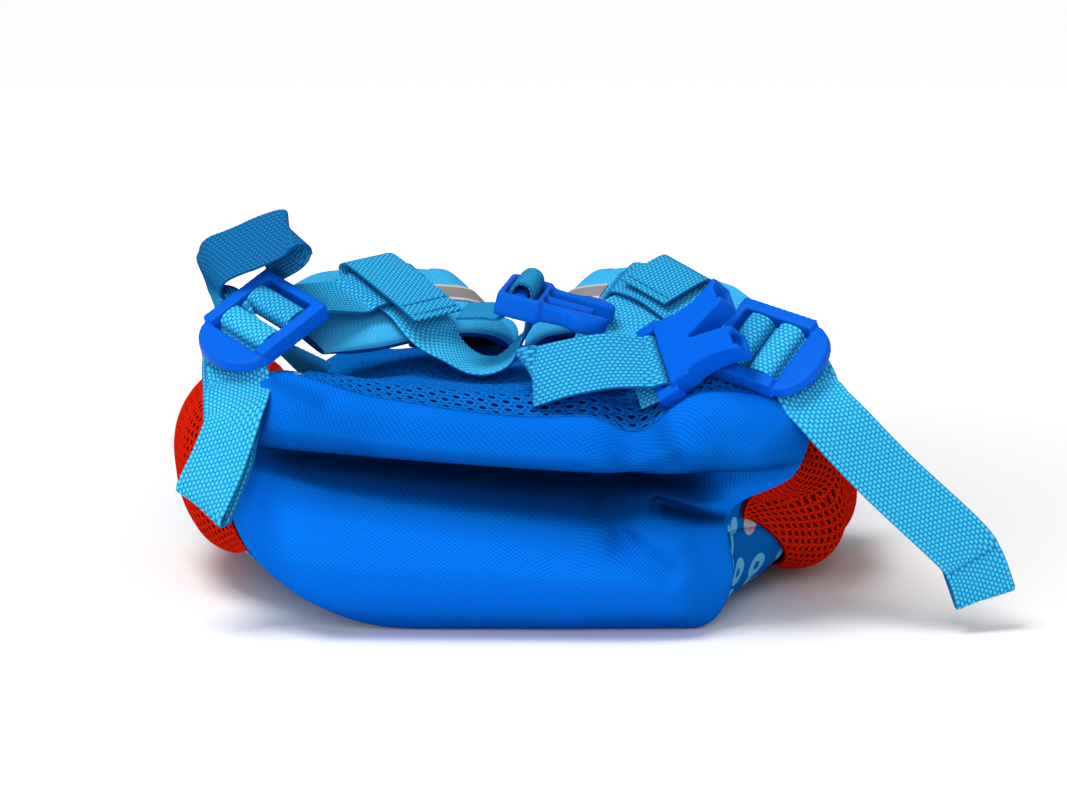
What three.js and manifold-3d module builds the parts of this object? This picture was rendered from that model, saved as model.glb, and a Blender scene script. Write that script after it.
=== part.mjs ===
// A child's mini backpack, empty, lying on its front panel with the chest strap undone.
// Millimetres. +Y runs from the base panel to the bag's mouth, +Z from the front panel, which lies
// flat on the ground, to the air-mesh back panel, and +X to the right of someone facing the base.
import * as THREE from 'three';
import Module from 'manifold-3d';
import { mergeVertices } from 'three/addons/utils/BufferGeometryUtils.js';

// Cloth, padding and gaps
const CLOTH = 1.4;
const MESH_CLOTH = 1.2;
const BACK_PAD = 5;
const SEAM_GAP = 0.5;
const WEBBING_WIDTH = 20;
const WEBBING_THICK = 1.2;
const LAYER_GAP = 0.4;
const POCKET_GAP = 1;

// Lengths along the bag, from the base seam
const YOKE_SEAM_Y = 204;
const MOUTH_Y = 256;
const ZIP_TAPE_WIDTH = 9;

// How far the underside is pressed flat by the ground, before it curves up
const GROUND_PRESS = 2.2;

// Outline of the base seam, anticlockwise from the pinch in its right side, in equal steps of turn
const BASE_RIM = [
  { x: 71, z: 38 }, { x: 91, z: 50 }, { x: 93, z: 67 }, { x: 62, z: 74 },
  { x: 14, z: 68 }, { x: -38, z: 74 }, { x: -72, z: 79 }, { x: -85, z: 65 },
  { x: -87, z: 42 }, { x: -82, z: 23 }, { x: -68, z: 9 }, { x: -42, z: 0 },
  { x: -2, z: 0 }, { x: 36, z: 0 }, { x: 63, z: 1 }, { x: 72, z: 16 },
];

// Dip in the seam's upper side, where the back panel sinks
const RIM_DIP = { x: 42, depth: 9, width: 11 };

// Cross sections of the bag behind the base seam: half width, height of the widest place, height
// of the back panel, and how square the section is
const BODY_SECTIONS = [
  { y: 50, centre: 3, wide: 97, mid: 35, high: 71, square: 3.0 },
  { y: 120, centre: 4, wide: 99, mid: 32, high: 66.5, square: 3.0 },
  { y: 190, centre: 5, wide: 94, mid: 27, high: 60, square: 3.0 },
  { y: 225, centre: 6, wide: 84, mid: 21, high: 47, square: 2.8 },
  { y: 245, centre: 6, wide: 74, mid: 15, high: 31, square: 2.6 },
  { y: 256, centre: 6, wide: 66, mid: 11.5, high: 23, square: 2.4 },
  { y: 266, centre: 6, wide: 61, mid: 10, high: 20, square: 2.4 },
];

// Seams between the four long walls, as turns round the section
const SEAM_TURNS = { frontRight: -0.025, backRight: 0.145, backLeft: 0.355, frontLeft: 0.575 };

// Folds of the slack base panel: each runs from one point of the panel to another; depth is into
// the bag, and a negative depth is a roll towards the viewer
const BASE_FOLDS = [
  { fromX: -84, fromZ: 57, toX: -20, toZ: 45, depth: 17, width: 8 },
  { fromX: -20, fromZ: 45, toX: 42, toZ: 41, depth: 21, width: 9 },
  { fromX: 42, fromZ: 41, toX: 68, toZ: 38, depth: 12, width: 8 },
  { fromX: -80, fromZ: 68, toX: 30, toZ: 60, depth: -9, width: 8 },
  { fromX: 52, fromZ: 60, toX: 90, toZ: 58, depth: -12, width: 10 },
  { fromX: -60, fromZ: 26, toX: 50, toZ: 20, depth: -13, width: 16 },
];
const BASE_BULGE = 9;
const FOLD_EDGE = 0.16;

// Side pockets of mesh: range of turns and lengths they cover, how much later their floor edge
// starts, and how far they stand off the gusset
const POCKETS = [
  { side: 'left', fromTurn: 0.385, toTurn: 0.565, fromY: 9, slant: 0, toY: 118, bulge: 19 },
  { side: 'right', fromTurn: -0.105, toTurn: 0.05, fromY: 12, slant: 26, toY: 112, bulge: 17 },
];

// Centre line of the left shoulder strap from its lower end to the yoke seam, with the direction of
// its inner edge, its half width, and how much lower the right strap lies
const STRAP_ROWS = [
  { x: -67, y: 30, z: 90, sideX: -0.60, sideY: 0.68, sideZ: 0.40, half: 14, drop: 10 },
  { x: -52, y: 43, z: 93, sideX: -0.57, sideY: 0.70, sideZ: 0.42, half: 19, drop: 6 },
  { x: -35, y: 58, z: 95.5, sideX: -0.42, sideY: 0.82, sideZ: 0.40, half: 21, drop: 0 },
  { x: -16, y: 69, z: 94, sideX: -0.28, sideY: 0.9, sideZ: 0.35, half: 20, drop: 0 },
  { x: -10, y: 84, z: 86, sideX: -0.5, sideY: 0.8, sideZ: 0.25, half: 18, drop: 0 },
  { x: -15.5, y: 110, z: 79, sideX: -0.97, sideY: 0.2, sideZ: 0.05, half: 18, drop: 0 },
  { x: -19, y: 156, z: 71, sideX: -1, sideY: 0, sideZ: 0, half: 19, drop: 0 },
  { x: -21, y: 203, z: 59, sideX: -1, sideY: 0, sideZ: 0, half: 19, drop: 0 },
];
const STRAP_MIRROR_X = 5;
const STRAP_PAD = 7;
const STRAP_EDGE = 2.4;
const REFLECTIVE = { from: 0.365, to: 0.93, width: 15, thick: 0.6, gap: 1 };

// Ladder locks: overall size, bars and slots along their length, counted from the middle
const LOCK = { width: 28, rail: 2.8, thick: 3, rear: -16, front: 11, tab: 18 };
const LOCK_SLOTS = [
  { from: -13.5, to: -9.5 },
  { from: -5, to: 2.3 },
  { from: 6, to: 10.6 },
];
const LOCK_PLACES = {
  left: {
    x: -76.9, y: 10, z: 96, aimX: -0.69, aimY: -0.52, aimZ: -0.5, upX: -0.154, upY: -0.569, upZ: 0.804,
  },
  right: {
    x: 82.1, y: 8, z: 87.6, aimX: 0.783, aimY: -0.589, aimZ: -0.2, upX: -0.264, upY: -0.607, upZ: 0.75,
  },
};

// Way of the webbing round a lock's rungs: along its length and above its middle plane
const FIXED_LOOP = [
  { along: -19, above: -4.8 }, { along: -14.5, above: -3.7 }, { along: -11.8, above: -1.7 },
  { along: -11.2, above: 0.6 }, { along: -10.1, above: 2.6 }, { along: -7.2, above: 3.2 },
  { along: -4.4, above: 2.6 }, { along: -3.3, above: 0.6 }, { along: -3.5, above: -1.8 },
  { along: -6.2, above: -4.6 }, { along: -8.2, above: -5.1 }, { along: -10.5, above: -5.2 },
];
const ADJUSTER_LOOP = [
  { along: -0.6, above: -6 }, { along: -0.3, above: -1.6 }, { along: 0.2, above: 0.9 },
  { along: 1.6, above: 2.5 }, { along: 4.2, above: 2.9 }, { along: 6.6, above: 2.4 },
  { along: 7.8, above: 0.9 }, { along: 8.3, above: -1.5 }, { along: 10.2, above: -3.7 },
];
const UNDER_TAB = {
  left: [
    { along: 12.8, above: -4.4, out: 0.6 }, { along: 16, above: -5.2, out: 3.4 },
    { along: 19.5, above: -6, out: 6 },
  ],
  right: [{ along: 14, above: -5, out: -2 }, { along: 19, above: -6.6, out: -6 }],
};

// Webbing sewn along a strap: place along the strap and how far it stands off the pad, where the
// chest strap's loop passes under it
const STRAP_WEBBING_ROWS = [
  { at: 0.352, off: 0 }, { at: 0.336, off: 1.4 }, { at: 0.318, off: 4.4 }, { at: 0.28, off: 4.4 },
  { at: 0.24, off: 4.4 }, { at: 0.2, off: 4.4 }, { at: 0.165, off: 4.4 }, { at: 0.13, off: 3.6 },
];
const TUNNEL = 4.4;

// Chest strap's loop round that webbing: from the loop's middle towards the base, and above it
const CHEST_LOOP = [
  { out: 26, above: 2.4 }, { out: 17, above: 2.9 }, { out: 8, above: 3 }, { out: -7, above: 3 },
  { out: -12.6, above: 2.3 }, { out: -14.8, above: 0 }, { out: -12.6, above: -2.3 },
  { out: -7, above: -2.7 }, { out: 8, above: -2.7 }, { out: 15, above: -2.6 }, { out: 24, above: -4.6 },
];
const CHEST_LOOP_AT = 0.243;
const CHEST_HEM = { left: 26, right: 9 };

// Free stretches of webbing: centre line and sideways direction
const TAIL_LEFT = [
  { x: -84, y: -13.2, z: 71, sideX: 0.8, sideY: -0.55, sideZ: -0.2 },
  { x: -88, y: -15.5, z: 58, sideX: 0.74, sideY: -0.53, sideZ: -0.38 },
  { x: -92.5, y: -17, z: 47, sideX: 0.7, sideY: -0.5, sideZ: -0.5 },
  { x: -93.8, y: -16.8, z: 43, sideX: 0.7, sideY: -0.5, sideZ: -0.5 },
  { x: -93.1, y: -15, z: 42, sideX: 0.7, sideY: -0.5, sideZ: -0.5 },
  { x: -91.4, y: -13.8, z: 43.5, sideX: 0.7, sideY: -0.5, sideZ: -0.5 },
  { x: -86, y: -12, z: 58, sideX: 0.74, sideY: -0.53, sideZ: -0.38 },
  { x: -88, y: -10, z: 68, sideX: 0.8, sideY: -0.56, sideZ: -0.2 },
  { x: -90, y: 3.5, z: 79.5, sideX: 0.72, sideY: -0.66, sideZ: -0.2 },
  { x: -89.5, y: 16.5, z: 88, sideX: 0.62, sideY: -0.76, sideZ: -0.2 },
  { x: -90.5, y: 30, z: 96.5, sideX: 0.52, sideY: -0.82, sideZ: -0.25 },
  { x: -94, y: 34, z: 103.5, sideX: 0.45, sideY: -0.85, sideZ: -0.28 },
  { x: -95, y: 30, z: 109, sideX: 0.45, sideY: -0.83, sideZ: -0.33 },
  { x: -91.5, y: 25.5, z: 114, sideX: 0.54, sideY: -0.76, sideZ: -0.37 },
  { x: -81, y: 22.5, z: 119, sideX: 0.59, sideY: -0.7, sideZ: -0.39 },
  { x: -69.5, y: 20, z: 123.5, sideX: 0.59, sideY: -0.7, sideZ: -0.39 },
  { x: -67.2, y: 21.6, z: 122.3, sideX: 0.59, sideY: -0.7, sideZ: -0.39 },
  { x: -68.6, y: 24, z: 120, sideX: 0.59, sideY: -0.7, sideZ: -0.39 },
  { x: -78, y: 34, z: 114, sideX: 0.59, sideY: -0.7, sideZ: -0.39 },
];
const TAIL_RIGHT = [
  { x: 102, y: -8.5, z: 68, sideX: 0.81, sideY: 0.36, sideZ: 0.46 },
  { x: 119, y: -9, z: 50.5, sideX: 0.78, sideY: 0.35, sideZ: 0.52 },
  { x: 141.5, y: -9, z: 29.5, sideX: 0.78, sideY: 0.32, sideZ: 0.54 },
  { x: 147, y: -9, z: 22, sideX: 0.84, sideY: 0.3, sideZ: 0.42 },
  { x: 150.5, y: -9, z: 12.5, sideX: 0.93, sideY: 0.25, sideZ: 0.2 },
];
const HEM_LENGTH = 17;
const ANCHORS = {
  left: { x: -58, y: 15, z: 78.4, sideX: 0.35, sideY: -0.93, sideZ: -0.05 },
  right: { x: 82, y: 13, z: 73, sideX: 0.15, sideY: 0.98, sideZ: 0.05 },
};
const CHEST_LEFT = [
  { x: -17, y: 34, z: 83, sideX: 0.3, sideY: 0.92, sideZ: 0.15 },
  { x: -10, y: 33, z: 79, sideX: 0.15, sideY: 0.97, sideZ: 0.15 },
  { x: -3, y: 33, z: 79, sideX: 0.05, sideY: 1, sideZ: 0.12 },
  { x: 2.5, y: 33.5, z: 83, sideX: 0, sideY: 1, sideZ: 0.12 },
];
const CHEST_RIGHT = [
  { x: 40, y: 6, z: 84.2, sideX: 0.17, sideY: -0.68, sideZ: -0.7 },
  { x: 31, y: 5.2, z: 84.4, sideX: 0.15, sideY: -0.62, sideZ: -0.77 },
  { x: 19, y: 4.5, z: 82.3, sideX: 0.2, sideY: -0.6, sideZ: -0.75 },
  { x: 10.5, y: 6.5, z: 79.6, sideX: 0.34, sideY: -0.6, sideZ: -0.72 },
  { x: 8.6, y: 9, z: 79, sideX: 0.34, sideY: -0.6, sideZ: -0.72 },
  { x: 11, y: 13, z: 79.4, sideX: 0.34, sideY: -0.6, sideZ: -0.72 },
  { x: 20, y: 20, z: 79.5, sideX: 0.5, sideY: -0.7, sideZ: -0.5 },
  { x: 29, y: 26.5, z: 82, sideX: 0.6, sideY: -0.75, sideZ: -0.25 },
];

// Side-release buckle: where each half lies, which way it points and which way its face looks
const BUCKLE_PLACES = {
  male: { x: 11, y: 30, z: 99.6, aimX: 0.94, aimY: -0.15, aimZ: -0.23, upX: 0.21, upY: -0.15, upZ: 0.96 },
  female: { x: 58.8, y: 5, z: 89.8, aimX: 0.78, aimY: -0.276, aimZ: 0.56, upX: -0.58, upY: -0.63, upZ: 0.5 },
};
const MALE = { rear: -12.5, shoulder: 2, tip: 24, width: 26, thick: 8, prong: 6 };
const FEMALE = { rear: -16, mouth: 16, width: 29, waist: 21, thick: 9.6, cavity: 5.4, cavityWidth: 22 };
const BUCKLE_SLOT_WIDTH = 21.4;
const MALE_SLOTS = [{ from: -10.2, to: -7.2 }, { from: -3.2, to: 0.2 }];
const FEMALE_SLOT = { from: -13.4, to: -9.6 };
const MALE_LOOP = [
  { along: -1.5, above: -9 }, { along: -1.5, above: -5 }, { along: -1.5, above: 0 },
  { along: -1.7, above: 4.4 }, { along: -3.1, above: 6.8 }, { along: -5.2, above: 7.5 },
  { along: -7.3, above: 6.8 }, { along: -8.7, above: 4.4 }, { along: -8.7, above: -1 },
  { along: -9.1, above: -4.6 }, { along: -11.4, above: -6.4 }, { along: -16, above: -7.2 },
  { along: -24, above: -9.5 },
];
const FEMALE_LOOP = [
  { along: -24, above: -1.4 }, { along: -18.5, above: -2.6 }, { along: -14.7, above: -4.6 },
  { along: -11.9, above: -3.2 }, { along: -11.4, above: 0 }, { along: -11.9, above: 3.2 },
  { along: -14.7, above: 4.7 },
];

const wasm = await Module();
wasm.setup();

const root = new THREE.Group();

function addPiece(name, geometry, color, roughness) {
  const material = new THREE.MeshStandardMaterial({ color, roughness, metalness: 0 });
  const mesh = new THREE.Mesh(geometry, material);
  mesh.name = name;
  root.add(mesh);
  return mesh;
}

function toSolid(geometry) {
  const bare = geometry.clone();
  bare.deleteAttribute('normal');
  bare.deleteAttribute('uv');
  const merged = mergeVertices(bare, 1e-4);
  return new wasm.Manifold(new wasm.Mesh({
    numProp: 3,
    vertProperties: new Float32Array(merged.attributes.position.array),
    triVerts: new Uint32Array(merged.index.array),
  }));
}

function toGeometry(solid) {
  const { vertProperties, triVerts } = solid.getMesh();
  const geometry = new THREE.BufferGeometry();
  geometry.setAttribute('position', new THREE.BufferAttribute(new Float32Array(vertProperties), 3));
  geometry.setIndex(new THREE.BufferAttribute(new Uint32Array(triVerts), 1));
  geometry.computeVertexNormals();
  return geometry;
}

// A shape with other shapes cut away from it, after others are joined on
function cut(geometry, tools, joined = []) {
  let solid = toSolid(geometry);
  for (const extra of joined) solid = solid.add(toSolid(extra));
  for (const tool of tools) solid = solid.subtract(toSolid(tool));
  return toGeometry(solid);
}

// One column of a table, read smoothly at any place between its rows
function readColumn(rows, key, column, place) {
  const last = rows.length - 1;
  let i = 0;
  while (i < last - 1 && place > rows[i + 1][key]) i += 1;
  const slope = (j) => {
    const before = rows[Math.max(j - 1, 0)];
    const after = rows[Math.min(j + 1, last)];
    return (after[column] - before[column]) / (after[key] - before[key]);
  };
  const span = rows[i + 1][key] - rows[i][key];
  const t = THREE.MathUtils.clamp((place - rows[i][key]) / span, 0, 1);
  const rise = t * t * (3 - 2 * t);
  const leave = t * (1 - t) * (1 - t) * span * slope(i);
  const arrive = t * t * (t - 1) * span * slope(i + 1);
  return rows[i][column] + (rows[i + 1][column] - rows[i][column]) * rise + leave + arrive;
}

// A sheet of cloth: a box whose two faces follow a surface and its inner side. The surface is the
// outer face; u and v run from 0 to 1, and the thickness may change over the sheet.
function bentSheet(stepsU, stepsV, thickness, surface) {
  const geometry = new THREE.BoxGeometry(1, 1, 1, stepsU, stepsV, 1);
  const place = geometry.attributes.position;
  const near = 1e-3;
  for (let i = 0; i < place.count; i += 1) {
    const u = place.getX(i) + 0.5;
    const v = place.getY(i) + 0.5;
    const alongU = surface(Math.min(u + near, 1), v).sub(surface(Math.max(u - near, 0), v));
    const alongV = surface(u, Math.min(v + near, 1)).sub(surface(u, Math.max(v - near, 0)));
    const normal = alongU.cross(alongV).normalize();
    const thick = typeof thickness === 'function' ? thickness(u, v) : thickness;
    const point = surface(u, v).addScaledVector(normal, (place.getZ(i) - 0.5) * thick);
    place.setXYZ(i, point.x, point.y, point.z);
  }
  geometry.computeVertexNormals();
  return geometry;
}

const RIM_CURVE = new THREE.CatmullRomCurve3(
  BASE_RIM.map(({ x, z }) => new THREE.Vector3(x, 0, z)), true, 'catmullrom', 0.5);

function powerSigned(value, exponent) {
  return Math.sign(value) * Math.abs(value) ** exponent;
}

// A point of the bag's outer face: a turn round the section and a length from the base seam
function bodyPoint(turn, y) {
  const rim = RIM_CURVE.getPoint(THREE.MathUtils.euclideanModulo(turn, 1));
  const fromDip = (rim.x - RIM_DIP.x) / RIM_DIP.width;
  if (turn > 0.125 && turn < 0.375) rim.z -= RIM_DIP.depth * Math.exp(-fromDip * fromDip);
  const sectionY = Math.max(y, BODY_SECTIONS[0].y);
  const read = (column) => readColumn(BODY_SECTIONS, 'y', column, sectionY);
  const exponent = 2 / read('square');
  const up = powerSigned(Math.sin(turn * 2 * Math.PI), exponent);
  const mid = read('mid');
  const x = read('centre') + read('wide') * powerSigned(Math.cos(turn * 2 * Math.PI), exponent);
  const z = mid + up * (up > 0 ? read('high') - mid : mid + GROUND_PRESS);
  const settled = THREE.MathUtils.smoothstep(y, 0, BODY_SECTIONS[0].y);
  return new THREE.Vector3(
    THREE.MathUtils.lerp(rim.x, x, settled), y, Math.max(0, THREE.MathUtils.lerp(rim.z, z, settled)));
}

// A wall of the bag between two seams, two lengths and with a given thickness
function bodyWall(fromTurn, toTurn, fromY, toY, thickness, stepsY, stepsTurn, gap = SEAM_GAP) {
  const trim = gap / 600;
  return bentSheet(stepsY, stepsTurn, thickness, (u, v) => bodyPoint(
    THREE.MathUtils.lerp(fromTurn + trim, toTurn - trim, v), THREE.MathUtils.lerp(fromY, toY, u)));
}

function addBodyWalls() {
  const { frontRight, backRight, backLeft, frontLeft } = SEAM_TURNS;
  const end = MOUTH_Y - SEAM_GAP;
  addPiece('front_panel', bodyWall(frontLeft, 1 + frontRight, 0, end, CLOTH, 14, 14), 0x1c5cae, 0.8);
  addPiece('gusset_right', bodyWall(frontRight, backRight, 0, end, CLOTH, 14, 5), 0x1c5cae, 0.8);
  addPiece('gusset_left', bodyWall(backLeft, frontLeft, 0, end, CLOTH, 14, 6), 0x1c5cae, 0.8);
  const padEnd = YOKE_SEAM_Y - SEAM_GAP;
  addPiece('back_panel', bodyWall(backRight, backLeft, 0, padEnd, BACK_PAD, 12, 12), 0x0b4cb3, 0.85);
  const yoke = bodyWall(backRight, backLeft, YOKE_SEAM_Y, end, CLOTH, 6, 10, 4 * SEAM_GAP);
  addPiece('top_panel', yoke, 0x0a5ed6, 0.8);
}

// The zip's two tapes carry the walls on to the mouth, which stands open, with the slider at its end
function addZip() {
  const reach = MOUTH_Y + ZIP_TAPE_WIDTH;
  addPiece('zip_tape_upper', bodyWall(0.03, 0.47, MOUTH_Y, reach, CLOTH, 2, 14), 0x0a4fb5, 0.7);
  addPiece('zip_tape_lower', bodyWall(0.53, 0.97, MOUTH_Y, reach, CLOTH, 2, 14), 0x0a4fb5, 0.7);
  const corner = bodyPoint(0.06, reach);
  const slider = new THREE.Shape();
  slider.moveTo(-4, 0);
  slider.lineTo(4, 0);
  slider.lineTo(3, 8);
  slider.lineTo(2.2, 15);
  slider.absarc(0, 15, 2.2, 0, Math.PI);
  slider.lineTo(-3, 8);
  const options = { depth: 3, bevelEnabled: false, curveSegments: 6 };
  const mesh = addPiece('zip_slider', new THREE.ExtrudeGeometry(slider, options), 0x0a6cf5, 0.5);
  mesh.position.set(corner.x - 4, corner.y + LAYER_GAP, corner.z - 3);
}

// Distance from a point of the base panel to a fold's line
function foldDistance(fold, x, z) {
  const line = new THREE.Line3(
    new THREE.Vector3(fold.fromX, 0, fold.fromZ), new THREE.Vector3(fold.toX, 0, fold.toZ));
  const point = new THREE.Vector3(x, 0, z);
  return line.closestPointToPoint(point, true, new THREE.Vector3()).distanceTo(point);
}

// The base panel fills the base seam: four sides of the rim, blended, then rolled and folded
function basePoint(u, v) {
  const side = (from, to, t) => bodyPoint(THREE.MathUtils.lerp(from, to, t), 0);
  const top = side(0.375, 0.125, u);
  const bottom = side(0.625, 0.875, u);
  const left = side(0.625, 0.375, v);
  const right = side(0.875, 1.125, v);
  const blend = (axis) => {
    const across = (1 - v) * bottom[axis] + v * top[axis] + (1 - u) * left[axis] + u * right[axis];
    const low = (1 - u) * side(0.625, 0.875, 0)[axis] + u * side(0.625, 0.875, 1)[axis];
    const high = (1 - u) * side(0.375, 0.125, 0)[axis] + u * side(0.375, 0.125, 1)[axis];
    return across - (1 - v) * low - v * high;
  };
  const x = blend('x');
  const z = blend('z');
  const edge = Math.min(u, 1 - u, v, 1 - v);
  const slack = THREE.MathUtils.smoothstep(edge, 0, FOLD_EDGE);
  const rise = (t) => Math.sqrt(Math.max(0, 1 - (2 * t - 1) ** 4));
  const arch = rise(u) * rise(v);
  let y = -SEAM_GAP - CLOTH - BASE_BULGE * arch;
  for (const fold of BASE_FOLDS) {
    const away = foldDistance(fold, x, z) / fold.width;
    y += fold.depth * slack * Math.exp(-away * away);
  }
  return new THREE.Vector3(x, y, z);
}

// A mesh pocket stands off its gusset, tightest at its seams and open towards the mouth
function addPocket({ side, fromTurn, toTurn, fromY, slant, toY, bulge }) {
  const near = 1e-3;
  const surface = (u, v) => {
    const turn = THREE.MathUtils.lerp(fromTurn, toTurn, v);
    const y = THREE.MathUtils.lerp(fromY + slant * (1 - v), toY, u);
    const round = bodyPoint(turn + near, y).sub(bodyPoint(turn - near, y));
    const out = new THREE.Vector3(0, 1, 0).cross(round).normalize();
    const swell = Math.sin(Math.PI * v) ** 0.6 * (1 - (1 - u) ** 3);
    const off = POCKET_GAP + MESH_CLOTH + bulge * swell;
    return bodyPoint(turn, y).addScaledVector(out, off);
  };
  addPiece(`side_pocket_${side}`, bentSheet(12, 10, MESH_CLOTH, surface), 0xd42a08, 0.75);
}

// A strap's centre line and frame, from its lower end at 0 to the yoke seam at 1
function makeStrap(side) {
  const right = side === 'right';
  const rows = STRAP_ROWS.map((row) => ({
    centre: new THREE.Vector3(
      right ? 2 * STRAP_MIRROR_X - row.x : row.x, row.y, right ? row.z - row.drop : row.z),
    side: new THREE.Vector3(row.sideX, right ? -row.sideY : row.sideY, right ? -row.sideZ : row.sideZ),
    half: row.half,
  }));
  const centres = new THREE.CatmullRomCurve3(rows.map((row) => row.centre), false, 'catmullrom', 0.5);
  const sides = new THREE.CatmullRomCurve3(rows.map((row) => row.side), false, 'catmullrom', 0.5);
  const halves = rows.map((row, i) => ({ at: i / (rows.length - 1), half: row.half }));
  const frameAt = (s) => {
    const along = centres.getTangent(s);
    const across = sides.getPoint(s);
    across.addScaledVector(along, -along.dot(across)).normalize();
    return { centre: centres.getPoint(s), along, across, normal: along.clone().cross(across) };
  };
  const half = (s) => readColumn(halves, 'at', 'half', s);
  const pointAt = (s, out, lift) => {
    const { centre, across, normal } = frameAt(s);
    return centre.addScaledVector(across, out).addScaledVector(normal, lift);
  };
  return { frameAt, half, pointAt };
}

// Half the pad's thickness at a place along and across the strap
function padHalf(s, v) {
  const crown = 1 - (2 * v - 1) ** 4;
  const rise = THREE.MathUtils.smoothstep(s, -0.02, 0.1);
  const fall = 1 - THREE.MathUtils.smoothstep(s, 0.9, 1.02);
  const ends = Math.min(rise, fall);
  return (STRAP_EDGE + (STRAP_PAD - STRAP_EDGE) * crown * ends) / 2;
}

function addStrap(side, strap) {
  const top = (u, v) => strap.pointAt(u, (2 * v - 1) * strap.half(u), padHalf(u, v));
  const pad = bentSheet(30, 6, (u, v) => 2 * padHalf(u, v), top);
  addPiece(`strap_pad_${side}`, pad, 0x42b0e0, 0.8);
  const strip = (u, v) => {
    const s = THREE.MathUtils.lerp(REFLECTIVE.from, REFLECTIVE.to, u);
    const lift = padHalf(s, 0.5) + REFLECTIVE.gap + REFLECTIVE.thick;
    return strap.pointAt(s, (v - 0.5) * REFLECTIVE.width, lift);
  };
  addPiece(`reflective_strip_${side}`, bentSheet(22, 2, REFLECTIVE.thick, strip), 0xb3b0a8, 0.35);
}

// A ribbon of webbing along rows of a centre and a sideways direction. Each short length is the hull
// of its two ends and the lengths are joined, so that no tight turn leaves the ribbon inside out.
// The largest body is kept, because the joining may leave empty slivers where two ends meet.
function ribbon(rows, stepsPerRow) {
  const centres = new THREE.CatmullRomCurve3(rows.map((row) => row.centre), false, 'catmullrom', 0.5);
  const sides = new THREE.CatmullRomCurve3(rows.map((row) => row.side), false, 'catmullrom', 0.5);
  const corners = [[-1, -1], [1, -1], [1, 1], [-1, 1]];
  const sectionAt = (u) => {
    const along = centres.getTangent(u);
    const across = sides.getPoint(u);
    across.addScaledVector(along, -along.dot(across)).normalize();
    const out = along.cross(across);
    return corners.map(([wide, high]) => centres.getPoint(u)
      .addScaledVector(across, wide * WEBBING_WIDTH / 2)
      .addScaledVector(out, high * WEBBING_THICK / 2).toArray());
  };
  const count = (rows.length - 1) * stepsPerRow;
  const sections = Array.from({ length: count + 1 }, (_, i) => sectionAt(i / count));
  const lengths = sections.slice(1).map((section, i) => wasm.Manifold.hull([...sections[i], ...section]));
  const bodies = wasm.Manifold.union(lengths).simplify(0.02).decompose();
  return toGeometry(bodies.reduce((largest, body) => (body.volume() > largest.volume() ? body : largest)));
}

// A lock's own directions: along towards its thumb tab, across to its other rail, and up
function lockFrame({ x, y, z, aimX, aimY, aimZ, upX, upY, upZ }) {
  const along = new THREE.Vector3(aimX, aimY, aimZ).normalize();
  const up = new THREE.Vector3(upX, upY, upZ);
  up.addScaledVector(along, -along.dot(up)).normalize();
  const across = up.clone().cross(along);
  const centre = new THREE.Vector3(x, y, z);
  const rowAt = (place, out = 0) => ({
    centre: centre.clone().addScaledVector(along, place.along).addScaledVector(up, place.above)
      .addScaledVector(across, out),
    side: across.clone(),
  });
  const matrix = new THREE.Matrix4().makeBasis(along, across, up).setPosition(centre);
  return { rowAt, matrix };
}

function addLock(side, frame) {
  const half = LOCK.width / 2;
  const outline = new THREE.Shape();
  outline.moveTo(LOCK.rear, -half);
  outline.lineTo(LOCK.front, -half);
  outline.quadraticCurveTo(LOCK.tab, -half, LOCK.tab, 0);
  outline.quadraticCurveTo(LOCK.tab, half, LOCK.front, half);
  outline.lineTo(LOCK.rear, half);
  const slots = LOCK_SLOTS.map(({ from, to }) => {
    const slot = new THREE.BoxGeometry(to - from, LOCK.width - 2 * LOCK.rail, 2 * LOCK.thick);
    return slot.translate((from + to) / 2, 0, 0);
  });
  const geometry = cut(plate(outline, LOCK.thick), slots);
  geometry.applyMatrix4(frame.matrix);
  addPiece(`ladder_lock_${side}`, geometry, 0x0a6cf5, 0.35);
}

function tableRow({ x, y, z, sideX, sideY, sideZ }) {
  return { centre: new THREE.Vector3(x, y, z), side: new THREE.Vector3(sideX, sideY, sideZ) };
}

// Rows whose sideways directions all agree, so that the ribbon isn't twisted over
function alignSides(rows) {
  rows.forEach((row, i) => {
    if (i > 0 && rows[i - 1].side.dot(row.side) < 0) row.side.negate();
  });
  return rows;
}

// Rows of a hem: the end of a ribbon turned back over its face
function hemRows(rows, length) {
  const [before, tip] = rows.slice(-2);
  const along = tip.centre.clone().sub(before.centre).normalize();
  const side = tip.side.clone().addScaledVector(along, -along.dot(tip.side)).normalize();
  const up = along.clone().cross(side).negate();
  const layer = WEBBING_THICK + LAYER_GAP;
  const step = (back, lift) => ({
    centre: tip.centre.clone().addScaledVector(along, -back).addScaledVector(up, lift),
    side: tip.side,
  });
  return [step(-0.8, layer / 2), step(0, layer), step(length * 0.4, layer), step(length * 0.8, layer)];
}

// Webbing sewn along the pad, which leaves it, loops round the lock's rung and comes back
function addStrapWebbing(side, strap, frame) {
  const sewn = STRAP_WEBBING_ROWS.map(({ at, off }) => {
    const lift = padHalf(at, 0.5) + LAYER_GAP + WEBBING_THICK / 2 + off;
    return { centre: strap.pointAt(at, 0, lift), side: strap.frameAt(at).across };
  });
  const looped = FIXED_LOOP.map((place) => frame.rowAt(place));
  addPiece(`strap_webbing_${side}`, ribbon(alignSides([...sewn, ...looped]), 3), 0x42b8ea, 0.85);
}

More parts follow.
